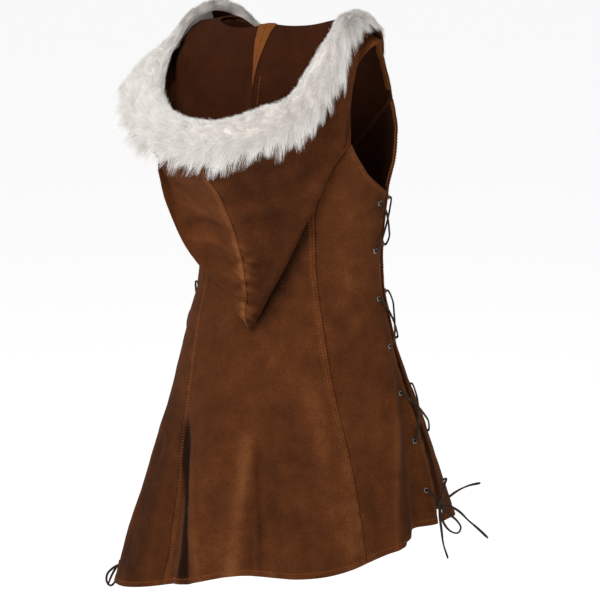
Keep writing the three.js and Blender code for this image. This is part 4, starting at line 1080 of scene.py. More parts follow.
def panel_relief(is_side, grid, join):
    """Folds, detail at the edges, where leather is turned in, and tone of a panel. A middle
    panel has a seam at both sides up to join, a side panel a seam first and a laced edge last."""
    p = grid.reshape(-1, 3)
    shape = grid.shape[:2]
    first, last, bottom, top = from_edges(grid)
    folds = crease_relief(p, CREASES).reshape(shape)
    folds += 0.9 * waves(grid, 3, 90) + 0.35 * waves(grid, 4, 34)
    folds *= smooth(first / 25) * 0.6 + 0.4
    folds *= smooth(last / 25) * 0.6 + 0.4
    turned_in = np.maximum(1 - smooth((bottom - HEM_TURN) / 1.5), 0)
    if is_side:
        detail = seam_profile(first, grid, False, 11) + edge_profile(last, grid, 12, EDGE_STITCH)
        detail += edge_profile(bottom, grid, 13, HEM_STITCH)
        detail += edge_profile(top, grid, 14, EDGE_STITCH)
        turned_in = np.maximum(turned_in, 1 - smooth((last - LACED_TURN) / 1.5))
    else:
        over = (np.arange(shape[1]) >= join).astype(float)
        detail = np.zeros(shape)
        for distance, seed in ((first, 11), (last, 12)):
            detail += (seam_profile(distance, grid, True, seed) * (1 - over)
                       + edge_profile(distance, grid, seed, EDGE_STITCH) * over)
        detail += edge_profile(bottom, grid, 13, HEM_STITCH)
    # painted light: the lines above add painted highlights and painted shade
    tone = np.zeros(len(p))
    for line, width, amount in PAINTED_LIGHT_LINES:
        d, place = along_line(line, p)
        tone += amount * bell(d, width) * smooth(place / 0.2) * smooth((1 - place) / 0.1 + 0.4)
    # raised bands and folds lighter, partly rubbed suede and partly painted highlight; seam
    # grooves and troughs darker, painted shade
    tone = tone.reshape(shape) + 0.15 * detail + 0.024 * folds
    return folds, detail, turned_in, tone


def hole_places(name, grid):
    if not name.startswith("side"):
        return []
    _, part, side = name.split("_")
    found = []
    for pair in SITES[side]:
        site = pair[part]
        d = np.linalg.norm(grid - site["at"], axis=-1)
        found.append((np.unravel_index(np.argmin(d), d.shape), site))
    return found


BORE_CLEARANCE = 0.45


def rim_round(site, grid, i, j):
    """Sets the neighbours of a grid's point on a round rim in the eyelet's bore."""
    base = grid[i, j].copy()
    depth = (base - site["at"]).dot(site["out"])
    for p, q in AROUND:
        away = grid[i + p, j + q] - base
        away -= site["out"] * away.dot(site["out"])
        grid[i + p, j + q] = (site["at"] + site["out"] * depth
                              + unit(away) * (EYELET_BORE + BORE_CLEARANCE))


NEAR, FAR, EDGE_ROW = (int(np.argmin(np.abs(EDGE_LINES - distance)))
                       for distance in (STITCH_NEAR, STITCH_FAR, EDGE_STITCH))
for name, panel in PANELS.items():
    grid = panel["grid"]
    is_side = name.startswith("side")
    normals = grid_normals(grid, grid * [1, 1, 0] + [0, 0, 20])
    if not is_side:
        normals[:, -1] = unit(normals[:, -1] * 0.2 + [0, 0, 1])
    join = panel.get("join", grid.shape[1])
    folds, detail, turned_in, tone = panel_relief(is_side, grid, join)
    outer = grid + normals * (folds + detail)[..., None]
    inner = grid + normals * (folds - LEATHER - TURN_THICKNESS * turned_in
                              + 0.35 * np.minimum(detail, 0))[..., None]
    holes = hole_places(name, grid)
    for (i, j), site in holes:
        rim_round(site, outer, i, j)
        rim_round(site, inner, i, j)
    leather_piece(name, outer, inner, [SUEDE, LINING], tone, sharp=50,
                  holes=[place for place, _ in holes])
    panel.update(outer=outer, normals=normals, inner=inner)
    last = grid.shape[0] - 1
    if is_side:
        stitch_row("edges", outer[last - EDGE_ROW, 2:grid.shape[1] - EDGE_ROW],
                   normals[last - EDGE_ROW, 2:grid.shape[1] - EDGE_ROW])
        top_row = grid.shape[1] - 1 - EDGE_ROW
        stitch_row("edges", outer[1:last - EDGE_ROW, top_row],
                   normals[1:last - EDGE_ROW, top_row])
    else:
        for column in (NEAR, FAR, last - NEAR, last - FAR):
            stitch_row("seams", outer[column, 1:join - 2], normals[column, 1:join - 2])
        for column in (EDGE_ROW, last - EDGE_ROW):
            stitch_row("edges", outer[column, join + 1:], normals[column, join + 1:])
    stitch_row("hem", outer[1:-1, FAR], normals[1:-1, FAR], pitch=3.6, length=2.6)
    if name == "centre_front":
        # the seams' rows seen on the inside
        for column in (NEAR, FAR, last - NEAR, last - FAR):
            stitch_row("inside", inner[column, 20:join - 2], -normals[column, 20:join - 2])


# ---------------------------------------------------------------- eyelets
RING_SIDES = 24


def lathe(profile, site):
    """A ring of the given section (radius, height) standing on the leather."""
    out = site["out"]
    across = unit(np.cross(out, [0, 0, 1]))
    other = np.cross(out, across)
    turn = full_turn(RING_SIDES)
    profile = np.array(profile)
    points = (site["at"] + profile[None, :, :1] * (across * np.cos(turn)[:, None]
              + other * np.sin(turn)[:, None])[:, None] + profile[None, :, 1:] * out)
    n = len(profile)
    index = np.arange(RING_SIDES * n).reshape(RING_SIDES, n)
    nxt = np.roll(index, -1, axis=0)
    after = np.roll(np.arange(n), -1)
    return points.reshape(-1, 3), face_list([index, nxt, nxt[:, after], index[:, after]])


# an eyelet's section as (radius, height): its rolled lip outside and its clinched edge inside
LIP = [(2.5, 0.2), (2.55, 0.8), (2.75, 1.15), (3.1, 1.3), (3.5, 1.2), (3.95, 0.9),
       (4.3, 0.5), (4.4, 0.15), (2.75, 0.1), (2.7, -2.6), (3.9, -2.65), (3.8, -3.0),
       (2.6, -3.0), (2.5, -2.6)]
points, faces = joined([lathe(LIP, site) for side in SITES for pair in SITES[side]
                        for site in pair.values()])
make_object("eyelets", points, faces, [EYELET], sharp=60,
            replaces=[f"eyelet_{side}_{part}_{row + 1}" for side in SITES
                      for row in range(len(SITES[side])) for part in ("back", "front")])

# ---------------------------------------------------------------- laces in the eyelets
LACE_OUT = 3.4
LACE_IN = -5.2
LACE_IN_MIDDLE = -6.2
CROSSING_OVER = 8.0
CROSSING_UNDER = 4.6
THONG_HALF_WIDTH = 2.1
THONG_HALF_HEIGHT = 1.25


def positive(theta):
    return (theta + 360) % 360


def angle_of(p):
    sine = (MIDDLE(p[2]) - p[0]) / HALF_WIDTH(p[2])
    cosine = p[1] / (BACK(p[2]) if p[1] > 0 else FRONT(p[2]))
    return positive(math.degrees(math.atan2(sine, cosine)))


def run(start, end, thetas, lift, least):
    """Four points from start to end over the leather, lifted between them and at least so
    far off it, or so deep under it where least is below 0."""
    out = []
    for t in (0.2, 0.4, 0.6, 0.8):
        p = lerp(start, end, t)
        theta = lerp(thetas[0], thetas[1], t)
        n = form_normal(theta, p[2])
        p = p + n * lift * math.sin(math.pi * t)
        clear = (p - form(theta, p[2])).dot(n)
        short = max(0, least - clear) if least > 0 else min(0, least - clear)
        out.append((p + n * short, n))
    return out


def strand(side, start):
    """Points of one half of a side's lace, each with the leather's direction there."""
    pairs = SITES[side]
    other = {"back": "front", "front": "back"}
    part = start
    top = pairs[0]
    out = top["back"]["out"]
    bar = (top["back"]["at"] + top["front"]["at"]) / 2 + out * LACE_IN
    first = top[part]["at"] + top[part]["out"] * LACE_IN
    points = [(lerp(bar, first, 0.02), out), (lerp(bar, first, 0.7), out)]
    for row, pair in enumerate(pairs):
        site = pair[part]
        outwards = row % 2 == 0
        heights = [LACE_IN, LACE_IN * 0.45, LACE_OUT * 0.35, LACE_OUT]
        for h in (heights if outwards else heights[::-1]):
            points.append((site["at"] + site["out"] * h, site["out"]))
        if row + 1 == len(pairs):
            break
        following = other[part] if outwards else part
        height = (CROSSING_OVER if start == "back" else CROSSING_UNDER) if outwards \
            else LACE_IN_MIDDLE
        start_h = LACE_OUT if outwards else LACE_IN
        goal = pairs[row + 1][following]
        points += run(site["at"] + site["out"] * start_h, goal["at"] + goal["out"] * start_h,
                      (positive(site["theta"]), positive(goal["theta"])), height - start_h,
                      height if start_h > 0 else start_h)
        part = following
    knot = np.array(KNOTS[side], float)
    last = pairs[-1][part]
    end = last["at"] + last["out"] * (LACE_OUT + 2.2)
    points.append((end, last["out"]))
    towards = knot - end
    reach = np.linalg.norm(towards) - KNOT_RADIUS * 0.8
    arrival = end + unit(towards) * reach
    if reach > EYELET_PITCH["right"] / 2:
        points += run(end, arrival, (positive(last["theta"]), angle_of(knot)), 0, LACE_OUT)
    points.append((arrival, points[-1][1]))
    return points


def thong(points):
    path = np.array([p for p, _ in points])
    normals = np.array([n for _, n in points])
    steps = np.linspace(0, 1, 9 * (len(path) - 1) + 1)
    fine = catmull(path, steps)
    fine_n = unit(catmull(normals, steps))
    along = unit(np.gradient(fine, axis=0))
    across = np.cross(along, fine_n)
    clear = np.linalg.norm(across, axis=-1, keepdims=True)
    out = []
    previous = unit(across[0] + 1e-3)
    for a, c, t in zip(across, clear[:, 0], along):
        kept = previous - t * previous.dot(t)
        a = a if a.dot(previous) >= 0 else -a
        previous = unit(a * c * 0.8 + kept * 0.35)
        out.append(previous)
    flatness = np.clip(clear[:, 0] * 1.4 - 0.3, 0, 1)
    width = lerp(1.7, THONG_HALF_WIDTH, flatness)
    height = lerp(1.5, THONG_HALF_HEIGHT, flatness)
    return tube(fine, width, height, np.array(out))


# a knot's cord as (half width, half height), and the band's round it
KNOT_CORD, KNOT_BAND = (1.7, 1.15), (1.6, 0.8)


def closed(path):
    return np.vstack([path, path[:1]])


def make_knot(side):
    """One turn of the thong wound through itself, and a band of it round the middle."""
    at = np.array(KNOTS[side])
    turn = full_turn(160)
    radius = 3.1 + 1.5 * np.cos(3 * turn)
    winding = np.stack([radius * np.cos(2 * turn), radius * np.sin(2 * turn),
                        2.4 * np.sin(3 * turn)], -1)
    band = np.stack([1.9 * np.cos(turn), 5.0 * np.sin(turn), 4.6 * np.cos(turn)], -1)
    axis = unit(form_normal(angle_of(at), float(at[2])))
    across = unit(np.cross(axis, [0, 0, 1]))
    basis = np.stack([across, np.cross(axis, across), axis])
    winding, band = closed(winding @ basis + at), closed(band @ basis + at)
    round_band = np.cross(unit(np.gradient(band, axis=0)), unit(band - at))
    points, faces = joined([tube(winding, *KNOT_CORD, carried(winding, axis + 0.2)),
                            tube(band, *KNOT_BAND, round_band)])
    make_object(f"knot_{side}_thong", points, faces, [THONG], sharp=60,
                attributes={"tone": np.full(len(points), BASE_TONE)}, replaces=[f"knot_{side}"])


for side in ("right", "left"):
    for letter, start in (("a", "back"), ("b", "front")):
        points, faces = thong(strand(side, start))
        make_object(f"lace_{side}_{letter}_thong", points, faces, [THONG], sharp=60,
                    attributes={"tone": BASE_TONE + 0.04 * waves(points, 8, 30)},
                    replaces=[f"lace_{side}_{letter}"])
    make_knot(side)


# ---------------------------------------------------------------- hood
def clear_of_side(p, lift):
    share = p[1] / ((BACK(p[2]) if p[1] > 0 else FRONT(p[2])) + lift)
    reach = (HALF_WIDTH(p[2]) + lift) * math.sqrt(max(0, 1 - share * share))
    side = np.sign(p[0])
    return np.array([side * max(side * p[0], reach + side * MIDDLE(p[2])), p[1], p[2]])


def clear_of_body(p, most):
    p = np.asarray(p, float)
    s = (p[0] - MIDDLE(p[2])) / -HALF_WIDTH(p[2])
    if abs(s) > SIDE_SHARE and p[2] < shoulder_z(p[0]) - SIDE_DROP:
        return clear_of_side(p, most)
    if abs(s) > 0.999:
        return p
    lift = most * min(max((1 - abs(s)) / SIDE_FADE, 0), 1)
    depth = (BACK(p[2]) if p[1] > 0 else FRONT(p[2])) * math.sqrt(1 - s * s)
    if p[2] < UNDERARM_Z:
        return np.array([p[0], np.sign(p[1]) * max(abs(p[1]), depth + lift), p[2]])
    height = float(shoulder_z(p[0])) - UNDERARM_Z
    tau = (p[2] - UNDERARM_Z) / height
    reach = ((abs(p[1]) / (depth + lift)) ** SHOULDER_POWER
             + (tau * height / (height + lift)) ** SHOULDER_POWER) ** (1 / SHOULDER_POWER)
    grow = max(1, 1 / reach)
    return np.array([p[0], p[1] * grow, UNDERARM_Z + (p[2] - UNDERARM_Z) * grow])


def neck_point(theta):
    phi = float(neck_phi(theta))
    return upper(theta, phi) + upper_normal(theta, phi) * 1.2 + [0, 0, 2.5]


def under_lift(p):
    return (HOOD_LIFT + HOOD_SHOULDER_LIFT * smooth((p[2] + 150) / 120)
            + SHOULDER_END_LIFT * bell(abs(p[0]) - 146, 14))


def hood_column(face, brow, fold, neck, sag, rise):
    face = clear_of_body(face, rise)
    brow_lift = min(BROW_LIFT, rise)
    brow = clear_of_body(brow, brow_lift)
    outwards = unit(brow - [brow[0] * 0.25, 0, brow[2]])
    column = [face, clear_of_body((face + brow) / 2, (rise + brow_lift) / 2), brow]
    lip = clear_of_body(fold + outwards * LIP_OVERHANG, LIP_LIFT)
    for k in range(1, HOOD_ROWS_BELOW_BROW + 1):
        t = k / (HOOD_ROWS_BELOW_BROW + 1)
        column.append(clear_of_body(lerp(brow, lip, t) + outwards * 4 * t * (1 - t) * sag,
                                    LAYER_LIFT))
    fold_in = clear_of_body(fold + [0, 0, 2], float(under_lift(fold)))
    neck = clear_of_body(neck, NECK_LIFT)
    column += [lip, clear_of_body(fold + [0, 0, -3], FOLD_LIFT), fold_in]
    for t in UNDER_ROWS:
        p = lerp(fold_in, neck, t)
        column.append(clear_of_body(p, lerp(float(under_lift(p)), NECK_LIFT,
                                            max(0, t * 2 - 1))))
    return np.array(column + [neck])


def dense_stations():
    count = len(HOOD_STATIONS) - 1
    places = np.arange(2 * count + 1) / (2 * count)
    faces, brows, folds = (catmull([s[k] for s in HOOD_STATIONS], places) for k in range(3))
    necks = catmull([neck_point(s[4]) for s in HOOD_STATIONS], places)
    rows = []
    for k in range(2 * count + 1):
        low, high = HOOD_STATIONS[k // 2], HOOD_STATIONS[min(count, (k + 1) // 2)]
        sag, rise, puff = ((low[m] + high[m]) / 2 for m in (3, 5, 6))
        rows.append((hood_column(faces[k], brows[k], folds[k], necks[k], sag, rise), puff))
    return np.array([r[0] for r in rows]), np.array([r[1] for r in rows])


def refine(grid, places):
    """Smooth curves through the first axis of a grid, places[k] being the shares at which
    points are made in span k."""
    step = np.diff(grid, axis=0)
    h = np.maximum(np.linalg.norm(step, axis=-1, keepdims=True), 1e-3)
    d = step / h
    inner = (h[:-1] * d[1:] + h[1:] * d[:-1]) / (h[:-1] + h[1:])
    m = np.concatenate([d[:1], inner, d[-1:]])
    rows = [hermite(t, grid[k], grid[k + 1], h[k], m[k], m[k + 1])
            for k in range(len(grid) - 1) for t in places[k]]
    return np.array(rows + [grid[-1]])


def shares(count):
    return np.arange(count) / count


coarse, puffs = dense_stations()
# towards the left shoulder the hanging layer stands clear of the layer under it
station = np.arange(len(coarse))
STAND_OFF = 11
STAND_OFF_STATION, STAND_OFF_WIDTH = 28.3, 2.6
STAND_OFF_ROWS = ([2, 3, 4, 5, 7, 8, 9, 10], [0, 0.35, 0.75, 1, 1, 0.8, 0.3, 0])
stand_off = STAND_OFF * bell(station - STAND_OFF_STATION, STAND_OFF_WIDTH)[:, None] * np.interp(
    np.arange(coarse.shape[1]), *STAND_OFF_ROWS)
coarse = coarse + stand_off[..., None] * unit([0.45, 0.85, 0.1])
SEAM_INDEX = 2 * HOOD_SEAM_STATION
ROW_COUNTS = [7, 7] + [11] * 5 + [4, 4] + [6] * 7
by_rows = refine(coarse.transpose(1, 0, 2), [shares(c) for c in ROW_COUNTS]).transpose(1, 0, 2)
ROW_STARTS = np.concatenate([[0], np.cumsum(ROW_COUNTS)])
BROW_ROW, LIP_ROW, FOLD_ROW = ROW_STARTS[2], ROW_STARTS[7], ROW_STARTS[9]
# shares of a span at which the mesh runs beside the seam, away from it and towards it
CLOSE = np.array([0, 0.03, 0.06, 0.1, 0.14, 0.18, 0.23, 0.28, 0.34, 0.4, 0.48, 0.56, 0.65,
                  0.74, 0.83, 0.92])
CLOSING = 1 - CLOSE[::-1][:-1]
near_seam = refine(by_rows[SEAM_INDEX - 1:SEAM_INDEX + 2], [CLOSING, CLOSE])
SEAM_NORMALS = unit(np.cross(np.gradient(near_seam, axis=0),
                             np.gradient(near_seam, axis=1)))[len(CLOSING)]

# Creases of the hood's hanging layer, each a line of (station, row) on its coarse grid, with
# its width and depth
HOOD_CREASES = [
    ([(27.2, 6.9), (24.9, 4.9), (23.1, 4.4), (22.2, 4.4)], 7, -4.2),
    ([(26.7, 6.8), (24.8, 5.5), (23, 5), (22.2, 4.9)], 7, 3.6),
    ([(25.8, 6.6), (24.4, 6), (22.9, 5.5), (22.1, 5.3)], 6, -3.6),
    ([(25.0, 6.7), (23.9, 6.3), (22.6, 5.9)], 5, 2.6),
    ([(24.4, 6.8), (23.4, 6.3), (22.4, 6.1)], 4, -2.6),
    ([(27.2, 5.4), (26, 4.7), (24.6, 4.2), (23.4, 4.2)], 8, 2.2),
    ([(27, 4.2), (25.4, 3.6), (23.8, 3.4)], 9, -2.0),
    ([(21.9, 6), (21, 6.1), (20, 6.4)], 4.5, -2.8),
    ([(21.9, 6.3), (21.2, 6.5), (20.4, 6.8)], 3.5, 2.2),
    ([(21.9, 6.6), (21.3, 6.75), (20.8, 6.9)], 3, -2.0),
    ([(21.9, 5.2), (20.8, 5.6), (19.4, 6.3), (18.6, 6.8)], 7, -2.6),
    ([(21.8, 3.8), (19.6, 4.5), (17.6, 5.7), (16.8, 6.5)], 12, -2.2),
    ([(21.8, 3.3), (19.8, 3.8), (17.6, 5), (16.4, 6)], 13, 2.0),
    ([(17.6, 5.4), (16.2, 5.9), (14.4, 6.6)], 9, 2.6),
    ([(18.4, 4.4), (16.8, 4.8), (14.8, 5.4)], 11, -2.6),
    ([(13.5, 3.2), (13, 4.6), (12.6, 6.4)], 8, 2.2),
]


def on_hood(points):
    """A line over the hood through (station, row) places."""
    dense = catmull([(k, r, 0) for k, r in points], np.linspace(0, 1, 4 * len(points)))
    k, r = dense[:, 0], dense[:, 1]
    i, j = k.astype(int), r.astype(int)
    f, g = (k - i)[:, None], (r - j)[:, None]
    return ((coarse[i, j] * (1 - f) + coarse[i + 1, j] * f) * (1 - g)
            + (coarse[i, j + 1] * (1 - f) + coarse[i + 1, j + 1] * f) * g)


HOOD_LINES = [(on_hood(points), width, depth) for points, width, depth in HOOD_CREASES]


def hood_relief(grid, seam_first):
    shape = grid.shape[:2]
    row = np.arange(shape[1])
    hanging = 1 - smooth((row - LIP_ROW) / 6.0)
    folds = np.zeros(shape)
    p = grid.reshape(-1, 3)
    for line, width, depth in HOOD_LINES:
        d, place = along_line(line, p)
        folds += (depth * bell(d, width) * smooth(place / 0.3) * smooth((1 - place) / 0.3)
                  ).reshape(shape) * hanging
    folds += 1.0 * waves(grid, 5, 80) + 0.5 * waves(grid, 6, 30)
    # close to the fold the layers nearly meet, so nothing is pressed inwards there
    folds = np.where(folds < 0, folds * smooth((LIP_ROW + 1 - row) / 20.0), folds * hanging)
    first = from_edges(grid)[0]
    distance = first if seam_first else first[-1:] - first
    low = smooth((row - ROW_STARTS[4]) / 20.0) * hanging
    folds += 3.2 * bell(distance, 13) * smooth((row - BROW_ROW) / 8.0) * hanging
    gather = waves(grid, 21, 15, 10) * 1.3 * bell(distance, 20) * low
    detail = seam_profile(distance, grid, seam_first, 15) + gather
    # raised bands and folds lighter, partly rubbed suede and partly painted highlight; grooves and
    # troughs darker, painted shade; the whole right half darker, painted shade on the side turned
    # from the key light
    tone = 0.14 * detail + 0.03 * folds + (0.0 if seam_first else -0.13) * hanging
    return folds, detail, tone, distance


# the outer colour runs round the fold at the bag's edge, and this many rows to both sides
COLOUR_BEFORE_LIP, COLOUR_AFTER_FOLD = 16, 3
HOOD_HALVES = {}
for name, start, stop in (("hood_right", 0, SEAM_INDEX),
                          ("hood_left", SEAM_INDEX, len(coarse) - 1)):
    part = by_rows[start:stop + 1]
    seam_first = start != 0
    at_seam = 0 if seam_first else -1
    spans = [shares(5)] * (len(part) - 1)
    spans[at_seam] = CLOSE if seam_first else np.concatenate([[0], CLOSING])
    grid = refine(part, spans)
    grid[at_seam, :, 0] += SEAM_GAP / 2 if seam_first else -SEAM_GAP / 2
    outward = unit(grid[:, BROW_ROW:LIP_ROW] - [20, 20, -200])
    n = unit(np.cross(np.gradient(grid, axis=0), np.gradient(grid, axis=1)))
    n = n * np.sign((n[:, BROW_ROW:LIP_ROW] * outward).sum(-1).mean())
    # both halves share their directions along the seam, so that it stays closed
    seam_n = SEAM_NORMALS * np.where((SEAM_NORMALS * n[at_seam]).sum(-1) < 0, -1, 1)[:, None]
    from_seam = np.arange(len(n)) if seam_first else np.arange(len(n))[::-1]
    share = np.exp(-(from_seam / 5.0) ** 2)[:, None, None]
    n = unit(n * (1 - share) + seam_n[None] * share)
    folds, detail, tone, distance = hood_relief(grid, seam_first)
    outer = grid + n * (folds + detail)[..., None]
    inner = grid + n * (folds - HOOD_LEATHER + 0.3 * np.minimum(detail, 0))[..., None]
    quad_row = np.tile(np.arange(grid.shape[1] - 1), grid.shape[0] - 1)
    leather_piece(name, outer, inner, [SUEDE, LINING], tone,
                  turned=((quad_row > LIP_ROW - COLOUR_BEFORE_LIP)
                          & (quad_row < FOLD_ROW + COLOUR_AFTER_FOLD)))
    HOOD_HALVES[name] = {"outer": outer, "inner": inner, "n": n, "distance": distance,
                         "at_seam": at_seam}


def beside_seam(half, surface, distances, rows):
    """Points of one of a hood half's grids at distances from the centre seam, row by row."""
    line = []
    for distance, j in zip(distances, rows):
        d = half["distance"][:, j]
        order = np.argsort(d)
        line.append([np.interp(distance, d[order], half[surface][order, j, k]) for k in range(3)])
    return np.array(line)


def seam_row(half, distance, surface, sign, first_row, last_row):
    """A line that keeps its distance from the hood's centre seam."""
    rows = range(first_row, last_row)
    distances = [distance] * len(rows)
    return (beside_seam(half, surface, distances, rows),
            unit(beside_seam(half, "n", distances, rows)) * sign)


for d in (STITCH_NEAR, STITCH_FAR):
    stitch_row("seams", *seam_row(HOOD_HALVES["hood_left"], d, "outer", 1, BROW_ROW, LIP_ROW))
stitch_row("inside", *seam_row(HOOD_HALVES["hood_right"], 10.5, "inner", -1, FOLD_ROW + 4,
                               ROW_STARTS[-1] - 12))


def strip(name, outer, inner):
    leather_piece(name, outer, inner, [TURNED, TURNED])


NAPE_WIDTH = 13
NAPE_TAPER = ([0, 0.2, 0.5, 1], [0.02, 0.32, 0.72, 1])
nape_rows = np.arange(ROW_STARTS[-4] + 4, ROW_STARTS[-1] + 1)
nape_width = NAPE_WIDTH * np.interp(np.linspace(0, 1, len(nape_rows)), *NAPE_TAPER)
steps = np.linspace(0.02, 1, 9)
for name, half in HOOD_HALVES.items():
    lines = np.array([beside_seam(half, "inner", nape_width * s, nape_rows) for s in steps])
    inwards = -half["n"][[half["at_seam"]], :][:, nape_rows]
    lift = 0.5 + 0.5 * waves(lines, 31, 26, 8) * 0.5 + 0.7 * smooth(steps)[:, None]
    strip("nape_allowance_" + name.split("_")[1], lines + inwards * (lift + 1.0)[..., None],
          lines + inwards * (lift * 0.6)[..., None])


def hem_strip(name, outer_edge, inner_edge, normals, notches):
    """A turned-in strip between two lines inside the wall, clipped in a few places."""
    share = np.linspace(0, 1, 7)[:, None, None]
    place = np.linspace(0, 1, len(outer_edge))
    reach = 1 - 0.55 * sum(bell(place - at, 0.012) for at in notches)
    reach = reach + 0.05 * np.sin(place * 21) + 0.04 * np.sin(place * 47)
    lines = outer_edge[None] + (inner_edge - outer_edge)[None] * share * reach[None, :, None]
    lift = 0.5 + 0.7 * share + 0.4 * share * np.sin(place * 33)[None, :, None]
    strip(name, lines + normals[None] * (lift + 1.1), lines + normals[None] * lift * 0.7)


STRAP_HEM_WIDTH = 11
SIDE_HEM_WIDTH = 8


def strip_lines(first, second, width):
    """Two lines of a wall's inside: its edge and the line so far from it."""
    step = unit(second - first)
    return first + step * 0.6, first + step * width


front = PANELS["centre_front"]
over = slice(front["join"] + 1, None)
for side, edge, within in (("right", 0, 13), ("left", -1, -14)):
    hem_strip(f"armhole_hem_{side}_strap",
              *strip_lines(front["inner"][edge, over], front["inner"][within, over],
                           STRAP_HEM_WIDTH),
              -front["normals"][edge, over], [0.3, 0.62])
    panel = PANELS[f"side_front_{side}"]
    cut = slice(6, len(panel["inner"]) - 14)
    hem_strip(f"armhole_hem_{side}_side",
              *strip_lines(panel["inner"][cut, -1], panel["inner"][cut, -14], SIDE_HEM_WIDTH),
              -panel["normals"][cut, -1], [0.22, 0.5, 0.8])

for group, name, tone in (("seams", "topstitching", 0.45), ("edges", "edge_stitching", 0.4),
                          ("hem", "hem_stitching", 0.5), ("inside", "inside_stitching", 0.62)):
    stitch_object(group, name, tone)

# ---------------------------------------------------------------- fur
band = refine(coarse[:, :3], [shares(4)] * (len(coarse) - 1))
band_n = unit(np.cross(np.gradient(band, axis=0), np.gradient(band, axis=1)))
if band_n[4 * SEAM_INDEX, 1, 1] < 0:
    band_n = -band_n
puff_at = np.interp(np.linspace(0, 1, len(band)), np.linspace(0, 1, len(puffs)), puffs)


def on_band(s, w, n):
    """Points at s along the strip (0 to 1), w over the leather from the face edge, n out."""
    x = s * (len(band) - 1)
    i = np.clip(x.astype(int), 0, len(band) - 2)
    f = (x - i)[:, None]
    row = band[i] * (1 - f[..., None]) + band[i + 1] * f[..., None]
    rown = unit(band_n[i] * (1 - f[..., None]) + band_n[i + 1] * f[..., None])
    t = 2 * w / FUR_LENGTH
    second = (t >= 1)
    a = np.where(second[:, None], row[:, 1], row[:, 0])
    b = np.where(second[:, None], row[:, 2], row[:, 1])
    na = np.where(second[:, None], rown[:, 1], rown[:, 0])
    nb = np.where(second[:, None], rown[:, 2], rown[:, 1])
    local = t - second
    inside = np.clip(local, 0, 1)[:, None]
    at = a + (b - a) * inside + unit(b - a) * ((local - inside[:, 0]) * FUR_LENGTH / 2)[:, None]
    out = unit(na + (nb - na) * inside)
    return at + out * n[:, None], out, unit(b - a)


section = np.array(FUR_SECTION, float)
section_arc = arc(np.hstack([section, np.zeros((len(section), 1))]))
section_arc /= section_arc[-1]


def section_at(a):
    return np.interp(a, section_arc, section[:, 0]), np.interp(a, section_arc, section[:, 1])


def fur_point(s, a, share):
    """A point at a share of the way from the skin to the fur's outer form."""
    w, n = section_at(a)
    puff = np.interp(s, np.linspace(0, 1, len(puff_at)), puff_at)
    n = np.where(np.abs(n) > 4, n * puff, n)
    w_skin = np.clip(w, 3, 50)
    n_skin = np.where(n < 0, -1.5, 1.5)
    return on_band(s, lerp(w_skin, w, share), lerp(n_skin, n, share))


# the dense undercoat, and the skin's edge on the inner side
S_COUNT, A_COUNT = 420, 26
UNDERCOAT_SHARE = 0.57
# share of the darker root colour in the undercoat: partly the hair's greyer base, partly painted
# shade under the hairs
UNDERCOAT_ROOT_GREY_AND_SHADE = 0.55
SKIN_EDGE = ((6, -3.2), (-1.4, -3.2), (-1.4, 1.2), (52, 1.2))
s_grid, a_grid = np.meshgrid(np.linspace(0, 1, S_COUNT), np.linspace(0, 1, A_COUNT),
                             indexing="ij")
under, _, _ = fur_point(s_grid.ravel(), a_grid.ravel(),
                        np.full(S_COUNT * A_COUNT, UNDERCOAT_SHARE))
lump = waves(under, 41, 16, 16) * 1.4
under, _, _ = fur_point(s_grid.ravel(), a_grid.ravel(), UNDERCOAT_SHARE + 0.03 * lump)
under = under.reshape(S_COUNT, A_COUNT, 3)
base = np.stack([on_band(np.linspace(0, 1, S_COUNT), np.full(S_COUNT, w), np.full(S_COUNT, n))[0]
                 for w, n in SKIN_EDGE], 1)
ring = np.concatenate([base, under], axis=1)
index = np.arange(ring.shape[0] * ring.shape[1]).reshape(ring.shape[:2])
nxt = np.roll(index, -1, axis=1)
faces = face_list([index[:-1], index[1:], nxt[1:], nxt[:-1]])
faces += [tuple(index[0]), tuple(index[-1][::-1])]


def hair_colour(s, p):
    """Off-white, with grey-brown patches at the wearer's left front and faint grey elsewhere."""
    grey = (smooth((s - 0.73) / 0.05) * (1 - smooth((s - 0.96) / 0.04)) * 0.95
            + bell(s - 0.2, 0.045) * 0.55 + bell(s - 0.12, 0.03) * 0.2)
    mottle = np.clip(0.5 + 0.22 * waves(p, 51, 34, 18) + 0.12 * waves(p, 53, 9, 18), 0, 1)
    return np.clip(grey * mottle, 0, 0.8)


WHITE = np.array(linear((250, 248, 245))[:3])
GREY = np.array(linear((116, 104, 95))[:3])
# darker root colour: partly the hair's own greyer base, partly painted shade deep in the fur
ROOT_GREY_AND_SHADE = np.array(linear((186, 174, 162))[:3])


def coloured(points, s, root_grey_and_shade):
    grey = hair_colour(s, points)[:, None]
    c = WHITE * (1 - grey) + GREY * grey
    # towards the roots the colour turns to the darker root colour: partly greyer base, partly
    # painted shade
    c = c * (1 - root_grey_and_shade[:, None]) + ROOT_GREY_AND_SHADE * (1 - grey * 0.6) * root_grey_and_shade[:, None]
    return np.hstack([c, np.ones((len(points), 1))])


flat = ring.reshape(-1, 3)
s_of = np.repeat(np.linspace(0, 1, S_COUNT), ring.shape[1])
make_object("fur_undercoat", flat, faces, [FUR],
            attributes={"hair": coloured(flat, s_of, np.full(len(flat), UNDERCOAT_ROOT_GREY_AND_SHADE))},
            replaces=["fur_trim"])


